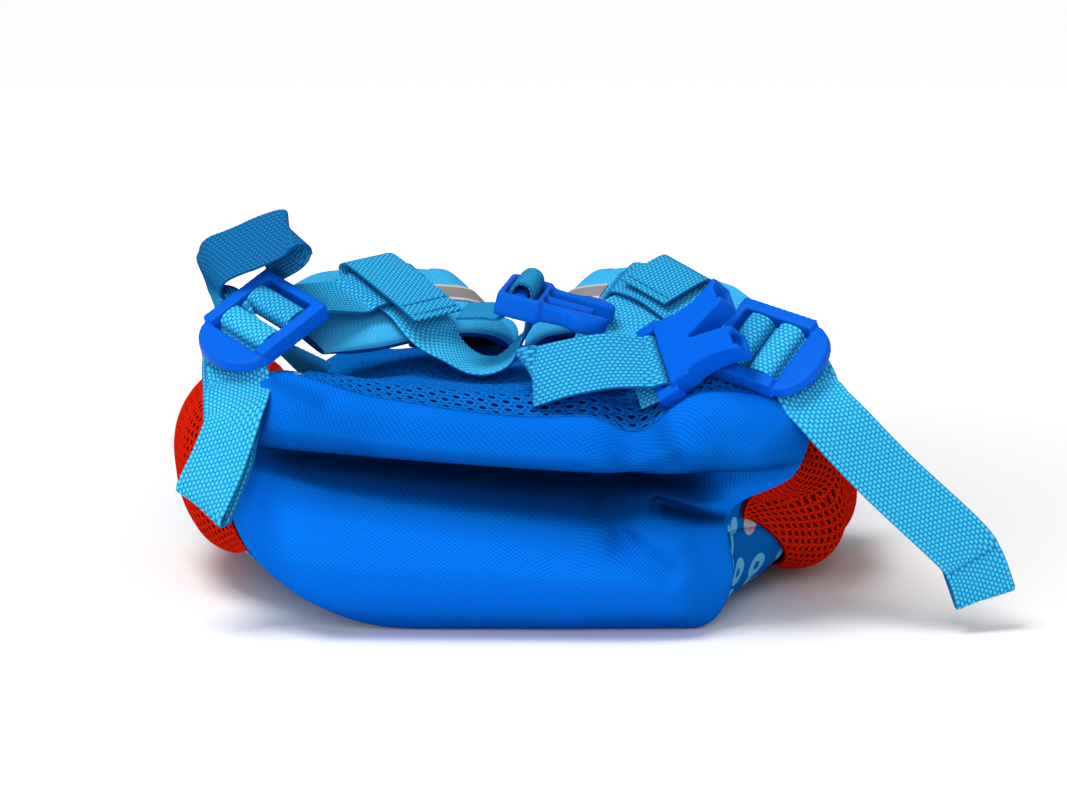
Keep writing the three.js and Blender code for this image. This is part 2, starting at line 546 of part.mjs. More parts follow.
// Webbing from the bag's lower corner through the lock, with its free tail
function addAdjuster(side, frame) {
  const looped = ADJUSTER_LOOP.map((place) => frame.rowAt(place));
  looped.push(...UNDER_TAB[side].map((place) => frame.rowAt(place, place.out)));
  const tail = (side === 'left' ? TAIL_LEFT : TAIL_RIGHT).map(tableRow);
  const rows = alignSides([tableRow(ANCHORS[side]), ...looped, ...tail]);
  if (side === 'right') rows.push(...hemRows(rows, HEM_LENGTH));
  addPiece(`adjuster_webbing_${side}`, ribbon(rows, 3), 0x2ea8e4, 0.85);
}

// The chest strap's loop round the webbing on a shoulder strap
function chestLoop(side, strap) {
  const at = CHEST_LOOP_AT;
  const { along, across } = strap.frameAt(at);
  const towards = side === 'left' ? across.clone().negate() : across.clone();
  const middle = padHalf(at, 0.5) + LAYER_GAP + WEBBING_THICK / 2 + TUNNEL;
  const rows = CHEST_LOOP.filter(({ out, above }) => above < 0 || out <= CHEST_HEM[side]);
  return rows.map(({ out, above }) => ({
    centre: strap.pointAt(at, 0, middle + above).addScaledVector(towards, out),
    side: along.clone(),
  }));
}

function addChestWebbing(straps, male, female) {
  const left = [
    ...chestLoop('left', straps.left),
    ...CHEST_LEFT.map(tableRow),
    ...MALE_LOOP.map((place) => male.rowAt(place)),
  ];
  const right = [
    ...FEMALE_LOOP.map((place) => female.rowAt(place)),
    ...CHEST_RIGHT.map(tableRow),
    ...chestLoop('right', straps.right).reverse(),
  ];
  addPiece('chest_webbing_left', ribbon(alignSides(left), 3), 0x42b8ea, 0.85);
  addPiece('chest_webbing_right', ribbon(alignSides(right), 3), 0x42b8ea, 0.85);
}

function slotCut({ from, to }, deep) {
  return new THREE.BoxGeometry(to - from, BUCKLE_SLOT_WIDTH, deep).translate((from + to) / 2, 0, 0);
}

// A flat piece extruded evenly above and below its middle plane
function plate(outline, thick) {
  const options = { depth: thick, bevelEnabled: false, curveSegments: 5 };
  return new THREE.ExtrudeGeometry(outline, options).translate(0, 0, -thick / 2);
}

function addMaleBuckle(frame) {
  const half = MALE.width / 2;
  const body = new THREE.Shape();
  body.moveTo(MALE.rear, -half);
  body.lineTo(MALE.shoulder, -half);
  body.lineTo(MALE.shoulder, half);
  body.lineTo(MALE.rear, half);
  const prongs = [-1, 1].map((hand) => {
    const prong = new THREE.Shape();
    prong.moveTo(MALE.shoulder - 1, hand * (half - 1));
    prong.lineTo(MALE.shoulder + 8, hand * (half - 2.5));
    prong.lineTo(MALE.shoulder + 12, hand * (half + 0.5));
    prong.quadraticCurveTo(MALE.tip, hand * half, MALE.tip, hand * (half - 6));
    prong.lineTo(MALE.tip - 4, hand * (half - 6));
    prong.lineTo(MALE.shoulder - 1, hand * (half - 5));
    return plate(prong, MALE.prong);
  });
  const guide = new THREE.BoxGeometry(17, 4, MALE.prong - 1).translate(MALE.shoulder + 7.5, 0, 0);
  const cuts = MALE_SLOTS.map((slot) => slotCut(slot, 2 * MALE.thick));
  const geometry = cut(plate(body, MALE.thick), cuts, [...prongs, guide]);
  geometry.applyMatrix4(frame.matrix);
  addPiece('buckle_male', geometry, 0x0265e6, 0.35);
}

function addFemaleBuckle(frame) {
  const half = FEMALE.width / 2;
  const waist = FEMALE.waist / 2;
  const outline = new THREE.Shape();
  outline.moveTo(FEMALE.rear, -half);
  outline.lineTo(FEMALE.rear + 6, -half);
  outline.bezierCurveTo(FEMALE.rear + 9, -waist, 4, -waist, FEMALE.mouth - 4, -half + 1.5);
  outline.lineTo(FEMALE.mouth, -half + 1.5);
  outline.lineTo(FEMALE.mouth, half - 1.5);
  outline.lineTo(FEMALE.mouth - 4, half - 1.5);
  outline.bezierCurveTo(4, waist, FEMALE.rear + 9, waist, FEMALE.rear + 6, half);
  outline.lineTo(FEMALE.rear, half);
  const cavity = new THREE.BoxGeometry(23, FEMALE.cavityWidth, FEMALE.cavity);
  cavity.translate(FEMALE.mouth - 11, 0, 0);
  const windows = new THREE.BoxGeometry(11, 2 * FEMALE.width, FEMALE.cavity);
  const slit = new THREE.BoxGeometry(15, 4, FEMALE.thick);
  slit.translate(FEMALE.mouth - 7, 0, FEMALE.thick / 2);
  const barCut = slotCut(FEMALE_SLOT, 2 * FEMALE.thick);
  const thin = new THREE.BoxGeometry(8, 2 * FEMALE.width, FEMALE.thick).translate(FEMALE.rear + 2.2, 0, 0);
  const above = thin.clone().translate(0, 0, FEMALE.thick / 2 + 2.2);
  const below = thin.clone().translate(0, 0, -FEMALE.thick / 2 - 2.2);
  const cuts = [cavity, windows, slit, barCut, above, below];
  const geometry = cut(plate(outline, FEMALE.thick), cuts);
  geometry.applyMatrix4(frame.matrix);
  addPiece('buckle_female', geometry, 0x0553d4, 0.35);
}

addBodyWalls();
addZip();
addPiece('base_panel', bentSheet(30, 22, CLOTH, basePoint), 0x0a5ed6, 0.8);
POCKETS.forEach(addPocket);
const straps = { left: makeStrap('left'), right: makeStrap('right') };
for (const side of ['left', 'right']) {
  const frame = lockFrame(LOCK_PLACES[side]);
  addStrap(side, straps[side]);
  addStrapWebbing(side, straps[side], frame);
  addLock(side, frame);
  addAdjuster(side, frame);
}
const maleFrame = lockFrame(BUCKLE_PLACES.male);
const femaleFrame = lockFrame(BUCKLE_PLACES.female);
addChestWebbing(straps, maleFrame, femaleFrame);
addMaleBuckle(maleFrame);
addFemaleBuckle(femaleFrame);

// The frame's origin is below the middle of the whole, on the ground
const box = new THREE.Box3().setFromObject(root, true);
const middle = box.getCenter(new THREE.Vector3());
for (const mesh of root.children) mesh.position.sub(new THREE.Vector3(middle.x, middle.y, box.min.z));

export default root;
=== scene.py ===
"""Looks of a child's mini backpack that lies on its front panel with its chest strap undone."""
import math
from functools import partial

import bmesh
import bpy
import numpy as np
from mathutils import Matrix, Vector


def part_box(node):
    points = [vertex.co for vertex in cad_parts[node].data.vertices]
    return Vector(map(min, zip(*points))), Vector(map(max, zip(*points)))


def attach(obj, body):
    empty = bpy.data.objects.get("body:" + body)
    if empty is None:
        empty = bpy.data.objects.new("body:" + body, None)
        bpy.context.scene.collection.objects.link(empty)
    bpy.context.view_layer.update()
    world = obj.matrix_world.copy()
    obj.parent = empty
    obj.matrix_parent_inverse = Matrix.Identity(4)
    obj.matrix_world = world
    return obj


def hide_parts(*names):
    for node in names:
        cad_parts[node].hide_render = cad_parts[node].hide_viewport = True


bl_info = {
    "name": "Mini Backpack",
    "version": (1, 0, 0),
    "blender": (4, 5, 0),
    "location": "View3D > Sidebar > Backpack",
    "description": "Builds the cloth, mesh, webbing and plastic of a mini backpack round its packed frame",
    "category": "Add Mesh",
}

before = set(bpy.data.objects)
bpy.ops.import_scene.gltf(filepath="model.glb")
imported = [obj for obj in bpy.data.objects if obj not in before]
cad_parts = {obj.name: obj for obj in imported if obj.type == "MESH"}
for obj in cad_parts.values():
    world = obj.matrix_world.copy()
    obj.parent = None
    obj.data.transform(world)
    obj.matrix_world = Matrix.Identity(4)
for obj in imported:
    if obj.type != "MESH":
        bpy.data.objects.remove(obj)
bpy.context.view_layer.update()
MM = 0.001
# Points closer than this, in metres, are joined
WELD = 1e-6

# The tables below are in millimetres. Y runs from the base seam to the mouth, and Z up from the ground
MOUTH_CENTRE = 6.0
BAG_ROUND = 600.0
YOKE_SEAM_Y = 204.0
MOUTH_Y = 256.0
ZIP_TAPE_WIDTH = 9.0
GROUND_PRESS = 2.2
SEAM_GAP = 0.5
LAYER_GAP = 0.4
SEWN_GAP = 0.12
SEWN_START = -0.45
POCKET_GAP = 1.0
# Depth of the dark sheet of painted shade under each pocket's mesh
POCKET_UNDER = 1.0
AIR_MESH_LIFT = 0.9
AIR_MESH_THICK = 0.7
POCKET_MESH_THICK = 0.5
TAPE_THICK = 0.4
WEBBING_CORE = 0.8
WEBBING_STEP = 0.5
CELLS_PER_RIB = 3
HOLE_SHARE = {"back": 0.5, "pocket": 0.6}
# Share of a mesh cell that must be left at an edge for it to have a hole
WHOLE_CELL = 0.6

# Outline of the base seam in equal steps of turn: x, z
BASE_RIM = (
    (71, 38), (91, 50), (93, 69), (65, 76.5), (14, 68), (-38, 74), (-72, 82), (-85, 65),
    (-87, 43), (-80.5, 25), (-64, 10.5), (-40, 1), (-2, 0), (36, 0), (63, 1), (72, 16),
)
RIM_DIP = {"x": 42.0, "depth": 9.0, "width": 11.0}

# Cross sections of the bag: y, centre, half width, height of the widest place, height, squareness
BODY_SECTIONS = (
    (50, 3, 97, 35, 71, 3.0),
    (120, 4, 99, 32, 66.5, 3.0),
    (190, 5, 94, 27, 60, 3.0),
    (225, 6, 84, 21, 47, 2.8),
    (245, 6, 74, 15, 31, 2.6),
    (256, 6, 66, 11.5, 23, 2.4),
    (266, 6, 61, 10, 20, 2.4),
)
SEAM_TURNS = {"front_right": -0.025, "back_right": 0.145, "back_left": 0.355, "front_left": 0.575}
# Walls of printed cloth: from turn, to turn, how it is held, what it rests on
WALLS = {
    "front_panel": (SEAM_TURNS["front_left"], 1 + SEAM_TURNS["front_right"], "laid", "floor"),
    "gusset_right": (SEAM_TURNS["front_right"], SEAM_TURNS["back_right"], "stretched", "front_panel"),
    "gusset_left": (SEAM_TURNS["back_left"], SEAM_TURNS["front_left"], "stretched", "front_panel"),
}
# Faces of each surface: along, across
FACES = {
    "front_panel": (80, 90),
    "gusset_right": (80, 30),
    "gusset_left": (80, 36),
    "top_panel": (24, 60),
    "base_panel": (200, 160),
    "zip_tape_upper": (8, 70),
    "zip_tape_lower": (8, 70),
    "back_foam": (60, 60),
    "pocket_under": (30, 30),
    "strap_pad": (110, 48),
    "reflective_strip": (90, 8),
}
# The back's roll near the base and its rise further on: lengths over which it rises, then falls
BACK_ROLL = (0, 13, 60, 190)
BACK_RISE = (60, 110, 140, 190)
BACK_RISE_HEIGHT = {"all": 2.0, "left": 5.0, "from": 0.74, "to": 0.9}
BACK_EDGE_ROUND = 0.3

# Rolls and creases of the base panel: from x, from z, to x, to z, depth into the bag, width
BASE_FOLDS = (
    (-80, 68, 30, 60, -13, 8),
    (52, 62, 88, 58, -12, 10),
    (-60, 26, 50, 20, -13, 16),
    (-72, 80, -57, 74.5, 1.8, 2.4),
    (-72, 69, -48, 67, -1.0, 2.6),
    (-70, 63, -44, 59, 0.9, 3.0),
    (48, 40, 70, 36.8, 10.0, 2.2),
    (40, 43.5, 68, 41.5, -4.5, 3.0),
    (31, 41, 37, 31, 5.0, 4.5),
    (37, 31, 50, 23, 3.6, 5.0),
    (46, 32, 64, 31, -3.0, 5.0),
    (60, 49, 84, 54, 2.0, 3.2),
    (38, 58, 62, 60, -1.4, 4.0),
    (44, 72, 52, 60, 2.2, 3.5),
    (-78, 50, -60, 44, 1.2, 3.4),
    (60, 30, 70, 14, 1.5, 3.5),
    (-72, 30, -60, 12, 1.2, 4.0),
)
# Deep fold below the upper roll: x, height of its lip, depth, height of its lower slope
BASE_VALLEY = (
    (-88, 61, 0, 5),
    (-77, 59.9, 10, 6),
    (-56, 58.0, 17, 8),
    (-34, 56.1, 21, 9.5),
    (5, 53.0, 26, 11.5),
    (32, 51.6, 26, 12.5),
    (48, 51.2, 21, 12),
    (60, 52.0, 12, 11),
    (72, 53.0, 4, 9),
    (92, 53.5, 0, 8),
)
# Shade in the base panel's narrow folds: from x, from z, to x, to z, strength, width
BASE_SHADES = (
    (50, 38.9, 68, 36.4, 0.9, 2.4),
    (33, 42.6, 44, 40, 0.28, 3.2),
    (30.5, 41, 34.5, 34, 0.24, 4.5),
    (39, 29, 50, 23, 0.2, 5.5),
    (60, 48, 86, 53, 0.3, 4.0),
    (-72, 80, -57, 74.5, 0.3, 2.6),
    (44, 72, 52, 60, 0.25, 3.5),
    (68, 60, 90, 62, 0.22, 13.0),
    (-76, 68, -44, 66, 0.14, 9.0),
)
# Shade above the deep fold's lip as strength and fading height, then near the ground as strength and heights
SHADE_ABOVE = ((0.42, 18.0), (0.34, 4.5))
SHADE_GROUND = (0.22, 4.0, 22.0)
SHADE_MOST = 0.97
BASE_BULGE = 9.0
FOLD_EDGE = 0.16

# Side pockets: range of turns, rise of the floor edge near the base, start, end, stand-off
POCKETS = {
    "left": (0.385, 0.565, 0, 9, 118, 19),
    "right": (-0.1, 0.05, 0.085, 12, 112, 17),
}
# Where a pocket stands out most, as a share of its height, how round it is there, and its slack waves
POCKET_CREST = 0.55
POCKET_ROUND = {"below": 0.8, "above": 0.45}
POCKET_SLACK = {"height": 1.4, "along": 2.3, "up": 1.4}
# Colour of the painted shade under the pocket mesh, as a share of the mesh's colour
POCKET_UNDER_SHADE = 0.22

# Shoulder strap from its lower end to the yoke: x, y, z, direction of the inner edge, half width, drop
STRAP_ROWS = (
    (-67, 30, 90, -0.60, 0.68, 0.40, 14, 10),
    (-52, 43, 93, -0.57, 0.70, 0.42, 19, 6),
    (-35, 58, 95.5, -0.42, 0.82, 0.40, 21, 0),
    (-16, 69, 94, -0.28, 0.9, 0.35, 20, 0),
    (-10, 84, 88.5, -0.5, 0.8, 0.25, 18, 0),
    (-15.5, 110, 82, -0.97, 0.2, 0.05, 18, 0),
    (-19, 156, 71, -1, 0, 0, 19, 0),
    (-21, 203, 59, -1, 0, 0, 19, 0),
)
STRAP_MIRROR_X = 5.0
STRAP_PAD = 7.0
STRAP_EDGE = 2.4
STRAP_CURL = {"left": 5.0, "right": 9.0}
STRAP_TIP = {"left": 0.0, "right": 8.0}
STRAP_ROUND = {"across": 0.55, "up": 0.6}
# Places along a strap where its drawn-out tip and the curl of its inner edge end
STRAP_TIP_END = 0.12
STRAP_CURL_END = 0.32
REFLECTIVE = {"from": 0.365, "to": 0.93, "width": 10.0, "gap": 0.6}

# Ladder locks: centre, direction of the thumb tab, direction of the face
LOCK_PLACES = {
    "left": ((-76.9, 10, 96), (-0.69, -0.52, -0.5), (-0.154, -0.569, 0.804)),
    "right": ((82.1, 8, 87.6), (0.783, -0.589, -0.2), (-0.264, -0.607, 0.75)),
}
# Webbing round a lock's rungs: along the lock, above its middle plane
FIXED_LOOP = (
    (-19, -4.8), (-14.5, -3.7), (-11.8, -1.7), (-11.2, 0.6), (-10.1, 2.6), (-7.2, 3.2),
    (-4.4, 2.6), (-3.3, 0.6), (-3.5, -1.8), (-6.2, -4.6), (-8.2, -5.1), (-10.5, -5.2),
)
ADJUSTER_LOOP = (
    (-0.6, -6), (-0.3, -1.6), (0.2, 0.9), (1.6, 2.5), (4.2, 2.9),
    (6.6, 2.4), (7.8, 0.9), (8.3, -1.5), (10.2, -3.7),
)
# Webbing below a lock's tab: along, above, sideways
UNDER_TAB = {
    "left": ((12.8, -4.4, 1.2), (16, -5.2, 5.5), (19.5, -6, 9.5)),
    "right": ((14, -5, -2), (19, -6.6, -6)),
}
# Webbing sewn along a strap: place along the strap, stand-off
STRAP_WEBBING_ROWS = (
    (0.352, 0), (0.336, 1.4), (0.318, 4.4), (0.28, 4.4), (0.24, 4.4), (0.2, 4.4), (0.165, 4.4), (0.13, 3.6),
)
TUNNEL = 4.4
# Chest strap's loop round that webbing: towards the base, above
CHEST_LOOP = (
    (26, 2.4), (17, 2.9), (8, 3), (-7, 3), (-12.6, 2.3), (-14.8, 0), (-12.6, -2.3),
    (-7, -2.7), (8, -2.7), (15, -2.6), (24, -4.6),
)
CHEST_LOOP_AT = 0.243
CHEST_HEM = {"left": 26, "right": 9}

# Free stretches of webbing: centre x, y, z and sideways direction x, y, z
TAILS = {
    "left": (
        (-83, -13.2, 71, 0.8, -0.55, -0.2),
        (-87.5, -15.5, 58, 0.74, -0.53, -0.38),
        (-92.5, -17, 47, 0.7, -0.5, -0.5),
        (-93.8, -16.8, 43, 0.7, -0.5, -0.5),
        (-93.1, -15, 42, 0.7, -0.5, -0.5),
        (-91.4, -13.8, 43.5, 0.7, -0.5, -0.5),
        (-85.5, -12, 58, 0.74, -0.53, -0.38),
        (-84, -9.5, 68, 0.8, -0.56, -0.2),
        (-85.5, 3.5, 79.5, 0.72, -0.66, -0.2),
        (-87.5, 16.5, 88, 0.62, -0.76, -0.2),
        (-90.5, 30, 96.5, 0.52, -0.82, -0.25),
        (-94, 34, 103.5, 0.45, -0.85, -0.28),
        (-95, 30, 109, 0.45, -0.83, -0.33),
        (-91.5, 25.5, 114, 0.54, -0.76, -0.37),
        (-81, 22.5, 119, 0.59, -0.7, -0.39),
        (-69.5, 20, 123.5, 0.59, -0.7, -0.39),
        (-67.2, 21.6, 122.3, 0.59, -0.7, -0.39),
        (-68.6, 24, 120, 0.59, -0.7, -0.39),
        (-78, 34, 114, 0.59, -0.7, -0.39),
    ),
    "right": (
        (102, -8.5, 68, 0.81, 0.36, 0.46),
        (119, -9, 50.5, 0.78, 0.35, 0.52),
        (141.5, -9, 29.5, 0.78, 0.32, 0.54),
        (147, -9, 22, 0.84, 0.3, 0.42),
        (150.5, -9, 12.5, 0.93, 0.25, 0.2),
    ),
}
HEM_LENGTH = 17.0
# Shade on a turned-over stretch of webbing: from height, to height, strength
WEBBING_SHADES = {"adjuster_webbing_left": (100, 105, 0.72)}
RIB_ROUND = 0.7
RIB_LOW = 0.35
SEAM = {"margin": 1.2, "room": 1.4, "pitch": 2.3, "stitch": 1.5, "lift": 0.65, "thread": 0.28}
# Seams across the webbing: node, distance from its start or, below zero, from its end
WEBBING_SEAMS = (
    ("chest_webbing_left", 2.5), ("chest_webbing_left", 8.0), ("chest_webbing_right", -2.5),
    ("adjuster_webbing_right", -29.0), ("strap_webbing_left", 3.0), ("strap_webbing_right", 3.0),
)
ANCHORS = {
    "left": (-58, 15, 78.4, 0.8, -0.6, 0.0),
    "right": (82, 13, 73, 0.15, 0.98, 0.05),
}
CHEST_LEFT = (
    (-17, 34, 83, 0.3, 0.92, 0.15),
    (-10, 33, 79, 0.15, 0.97, 0.15),
    (-3, 33, 79, 0.05, 1, 0.12),
    (2.5, 33.5, 83, 0, 1, 0.12),
)
CHEST_RIGHT = (
    (40, 6, 84.2, 0.17, -0.68, -0.7),
    (31, 5.2, 84.4, 0.15, -0.62, -0.77),
    (19, 4.5, 82.3, 0.2, -0.6, -0.75),
    (10.5, 6.5, 79.6, 0.34, -0.6, -0.72),
    (8.6, 9, 79, 0.34, -0.6, -0.72),
    (11, 13, 79.4, 0.34, -0.6, -0.72),
    (20, 20, 79.5, 0.5, -0.7, -0.5),
    (29, 26.5, 82, 0.6, -0.75, -0.25),
)
# Buckle halves: centre, direction they point, direction of the face
BUCKLE_PLACES = {
    "male": ((11, 30, 99.6), (0.94, -0.15, -0.23), (0.21, -0.15, 0.96)),
    "female": ((58.8, 5, 89.8), (0.78, -0.276, 0.56), (-0.58, -0.63, 0.5)),
}
# One arm of the female half: its lower height, upper height, then its outline as along, across
SOCKET_ARM = (
    (-4.6, 4.8, ((-9, 0.3), (-9, 12.6), (-5, 11.4), (0, 10.6), (6, 10.9), (8, 11.5), (8, 2.4), (1, 0.3))),
    (-4.6, -2.4, ((7, 11.2), (11, 12.4), (16, 14.6), (16, 5.0), (7, 2.2))),
    (2.6, 4.8, ((7, 11.2), (11, 12.4), (14.5, 13.9), (14.5, 4.5), (7, 2.2))),
    (-4.6, 4.8, ((7, 11.2), (11, 12.4), (16, 14.6), (16, 12.4), (11, 10.2), (7, 9.0))),
    (-4.6, 4.8, ((7, 2.2), (16, 5.0), (16, 7.2), (7, 4.4))),
)
# Boxes of the female half's webbing bar, its ends and waist: two corners each
SOCKET_BOXES = (
    ((-16, -14.5, -2.4), (-13.2, 14.5, 2.4)),
    ((-16, -14.5, -2.6), (-8, -10.9, 3)),
    ((-16, 10.9, -2.6), (-8, 14.5, 3)),
    ((-9.6, -12, -4), (-2.5, 12, 4.2)),
)
# Boxes of a ladder lock's rails and rear bar, then its thumb tab
LOCK_BOXES = (
    ((-16, -14.7, -2.6), (11, -10.5, 3.4)),
    ((-16, 10.5, -2.6), (11, 14.7, 3.4)),
    ((-16.4, -14, -2.4), (-13.4, 14, 3.2)),
)
LOCK_TAB = {"at": 11, "radius": 14.4, "top_radius": 13.6, "thick": 3.4, "reach": 0.68}
# Voxel size and smoothing passes that round a plastic piece's edges
MOULDING = {
    "ladder_lock_left": (0.45, 6),
    "ladder_lock_right": (0.45, 6),
    "buckle_male": (0.55, 22),
    "buckle_female": (0.45, 5),
    "zip_slider": (0.35, 3),
}
# Zip: range of turns of each tape, then its teeth along a tape and the corners of one tooth
ZIP_TURNS = {"upper": (0.03, 0.47), "lower": (0.53, 0.97)}
ZIP_TEETH = {"count": 54, "from": 0.03, "to": 0.97, "root": 0.7}
TOOTH = ((-1, -0.6, -0.9), (0.6, 0.6, 0.9))
# Webbing round a buckle's bars: along, above
MALE_LOOP = (
    (-1.5, -9), (-1.5, -5), (-1.5, 0), (-1.7, 4.4), (-3.1, 6.8), (-5.2, 7.5), (-7.3, 6.8),
    (-8.7, 4.4), (-8.7, -1), (-9.1, -4.6), (-11.4, -6.4), (-16, -7.2), (-24, -9.5),
)
FEMALE_LOOP = (
    (-24, -1.4), (-18.5, -2.6), (-14.7, -4.6), (-11.9, -3.2), (-11.4, 0), (-11.9, 3.2), (-14.7, 4.7),
)

# Looks: a bump is its strength and height in metres, a grain its scale and detail
CLOTH_LOOK = {
    "roughness": 0.85, "low_threads": 0.56, "mottle": 0.35, "mottle_shade": 0.7, "fold_shade": 0.06,
    "bump": (0.55, 0.0003),
}
WEBBING_LOOK = {
    "roughness": 0.8, "crown": 0.85, "fray": (900.0, 2.0), "worn": 0.3, "worn_shade": 0.75, "fold_shade": 0.8,
    "bump": (0.25, 0.0003),
}
TAPE_LOOK = {
    "roughness": 0.5, "specular": 0.2, "weave": 0.0016, "shade": 0.6, "edge": 1.3, "bump": (0.25, 0.0002),
}
GRAINED_LOOKS = {
    "mesh": {"roughness": 0.7, "grain": (1100.0, 2.0), "shade": 0.55, "bump": (0.5, 0.0004)},
    "thread": {"roughness": 0.7, "grain": (2500.0, 2.0), "shade": 0.5},
    "plastic": {
        "roughness": 0.34, "specular": 0.03, "grain": (420.0, 3.0), "shade": 0.85, "gloss": (0.2, 0.26),
        "bump": (0.12, 0.0003),
    },
}
MOTTLE = (55.0, 4.0)
PRINT = {"ring_scale": 75.0, "ring_in": 0.27, "ring_out": 0.42, "spot_scale": 40.0, "spot": 0.24}
# Lights: place in metres from what the camera looks at, size
LIGHTS = {"key": ((-0.4, -0.4, 1.2), 0.6), "fill": ((-0.1, -1.25, 0.6), 0.7)}
FLOOR = {"size": 12.0, "roughness": 0.9, "glow_from": 0.1, "glow_to": 0.65}


def design_origin():
    """Where the tables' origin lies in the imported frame, in metres."""
    low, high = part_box("zip_tape_upper")
    seam_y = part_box("front_panel")[0].y
    return np.array(((low.x + high.x) / 2 - MOUTH_CENTRE * MM, seam_y, 0.0))


ORIGIN = design_origin()


def to_row(points):
    """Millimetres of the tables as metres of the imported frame."""
    return points * MM + ORIGIN


def mix(first, second, share):
    return first + (second - first) * share


def smooth_step(value, low, high):
    t = np.clip((value - low) / (high - low), 0, 1)
    return t * t * (3 - 2 * t)


def hump(value, rise_from, rise_to, fall_from, fall_to):
    """A share that rises from 0 to 1 and falls back to 0."""
    return smooth_step(value, rise_from, rise_to) * (1 - smooth_step(value, fall_from, fall_to))


def unit(vectors):
    return vectors / np.linalg.norm(vectors, axis=-1, keepdims=True)


def read_column(places, values, at):
    """A table's column read smoothly at any place between its rows."""
    places = np.asarray(places, float)
    values = np.asarray(values, float)
    ahead = np.minimum(np.arange(len(places)) + 1, len(places) - 1)
    behind = np.maximum(np.arange(len(places)) - 1, 0)
    slopes = (values[ahead] - values[behind]) / (places[ahead] - places[behind])
    i = np.clip(np.searchsorted(places, at) - 1, 0, len(places) - 2)
    span = places[i + 1] - places[i]
    t = np.clip((at - places[i]) / span, 0, 1)
    leave = t * (1 - t) ** 2 * span * slopes[i]
    arrive = t * t * (t - 1) * span * slopes[i + 1]
    return mix(values[i], values[i + 1], t * t * (3 - 2 * t)) + leave + arrive


def curve_point(points, t, closed=False):
    """Points of a smooth curve through a table's points, for t from 0 to 1."""
    points = np.asarray(points, float)
    count = len(points)
    if closed:
        place = np.mod(t, 1.0) * count
        i = np.minimum(np.floor(place).astype(int), count - 1)
        ends = points[np.arange(-1, count + 2) % count]
    else:
        place = np.clip(t, 0, 1) * (count - 1)
        i = np.minimum(np.floor(place).astype(int), count - 2)
        ends = np.vstack((2 * points[0] - points[1], points, 2 * points[-1] - points[-2]))
    w = (place - i)[:, None]
    before, start, end, after = (ends[i + k] for k in range(4))
    leave = (end - before) / 2
    arrive = (after - start) / 2
    cubic = (2 * start - 2 * end + leave + arrive) * w ** 3
    return cubic + (-3 * start + 3 * end - 2 * leave - arrive) * w ** 2 + leave * w + start


def curve_tangent(points, t):
    step = 1e-4
    return unit(curve_point(points, np.minimum(t + step, 1)) - curve_point(points, np.maximum(t - step, 0)))


def power_signed(value, exponent):
    return np.sign(value) * np.abs(value) ** exponent


def body_point(turn, y):
    """Points of the bag's outer face: turns round the section and lengths from the base seam."""
    turn, y = np.broadcast_arrays(np.asarray(turn, float), np.asarray(y, float))
    rim = curve_point(BASE_RIM, turn, closed=True)
    dip = RIM_DIP["depth"] * np.exp(-((rim[:, 0] - RIM_DIP["x"]) / RIM_DIP["width"]) ** 2)
    rim_z = rim[:, 1] - np.where((turn > 0.125) & (turn < 0.375), dip, 0)
    columns = np.array(BODY_SECTIONS, float).T
    section_y = np.maximum(y, columns[0][0])
    centre, wide, mid, high, square = (read_column(columns[0], c, section_y) for c in columns[1:])
    up = power_signed(np.sin(turn * 2 * np.pi), 2 / square)
    x = centre + wide * power_signed(np.cos(turn * 2 * np.pi), 2 / square)
    z = mid + up * np.where(up > 0, high - mid, mid + GROUND_PRESS)
    settled = smooth_step(y, 0, columns[0][0])
    return np.stack((mix(rim[:, 0], x, settled), y, np.maximum(0, mix(rim_z, z, settled))), axis=1)


def body_out(turn, y):
    """Outward directions across the bag's face."""
    near = 1e-3
    round_way = body_point(turn + near, y) - body_point(turn - near, y)
    return unit(np.cross(np.array((0.0, 1.0, 0.0)), round_way))


def wall_surface(from_turn, to_turn, from_y, to_y, gap=SEAM_GAP):
    """A wall of the bag between two seams and two lengths."""
    trim = gap / BAG_ROUND

    def surface(u, v):
        return body_point(mix(from_turn + trim, to_turn - trim, v), mix(from_y, to_y, u))

    return surface


def fold_heights(x, z, rows):
    """How far the base panel's folds push each of its points into the bag."""
    total = np.zeros_like(x)
    for from_x, from_z, to_x, to_z, depth, width in rows:
        along_x, along_z = to_x - from_x, to_z - from_z
        share = ((x - from_x) * along_x + (z - from_z) * along_z) / (along_x ** 2 + along_z ** 2)
        share = np.clip(share, 0, 1)
        away = np.hypot(x - from_x - share * along_x, z - from_z - share * along_z) / width
        total += depth * np.exp(-away ** 2)
    return total


def valley_columns(x):
    """The deep fold's lip, depth and lower slope at each x."""
    columns = np.array(BASE_VALLEY, float).T
    return [read_column(columns[0], column, x) for column in columns[1:]]


def valley_depth(x, z):
    """Depth of the fold below the upper roll: a sharp lip above and a slower slope below."""
    lip, depth, reach = valley_columns(x)
    below = lip - z
    return depth * smooth_step(below, -1.6, 2.2) * (1 - smooth_step(below, 0.3 * reach, 1.4 * reach))


def base_shade(x, z):
    """How dark the base panel's folds are: from a sharp lip downwards, and along the narrow creases."""
    lip, depth, reach = valley_columns(x)
    below = lip - z
    valley = SHADE_MOST * smooth_step(depth, 0, 15) * smooth_step(below, -1.0, 1.2)
    valley *= (1 - smooth_step(below, 0.0, 2.6 * reach)) ** 1.15
    above = sum(strength * (1 - smooth_step(-below, 0.0, fade)) for strength, fade in SHADE_ABOVE)
    above *= smooth_step(-below, -1.2, 0.5) * (0.35 + 0.65 * smooth_step(depth, 0, 12))
    strength, low, high = SHADE_GROUND
    ground = strength * (1 - smooth_step(z, low, high))
    return np.clip(np.maximum(valley, fold_heights(x, z, BASE_SHADES)) + above + ground, 0, SHADE_MOST)


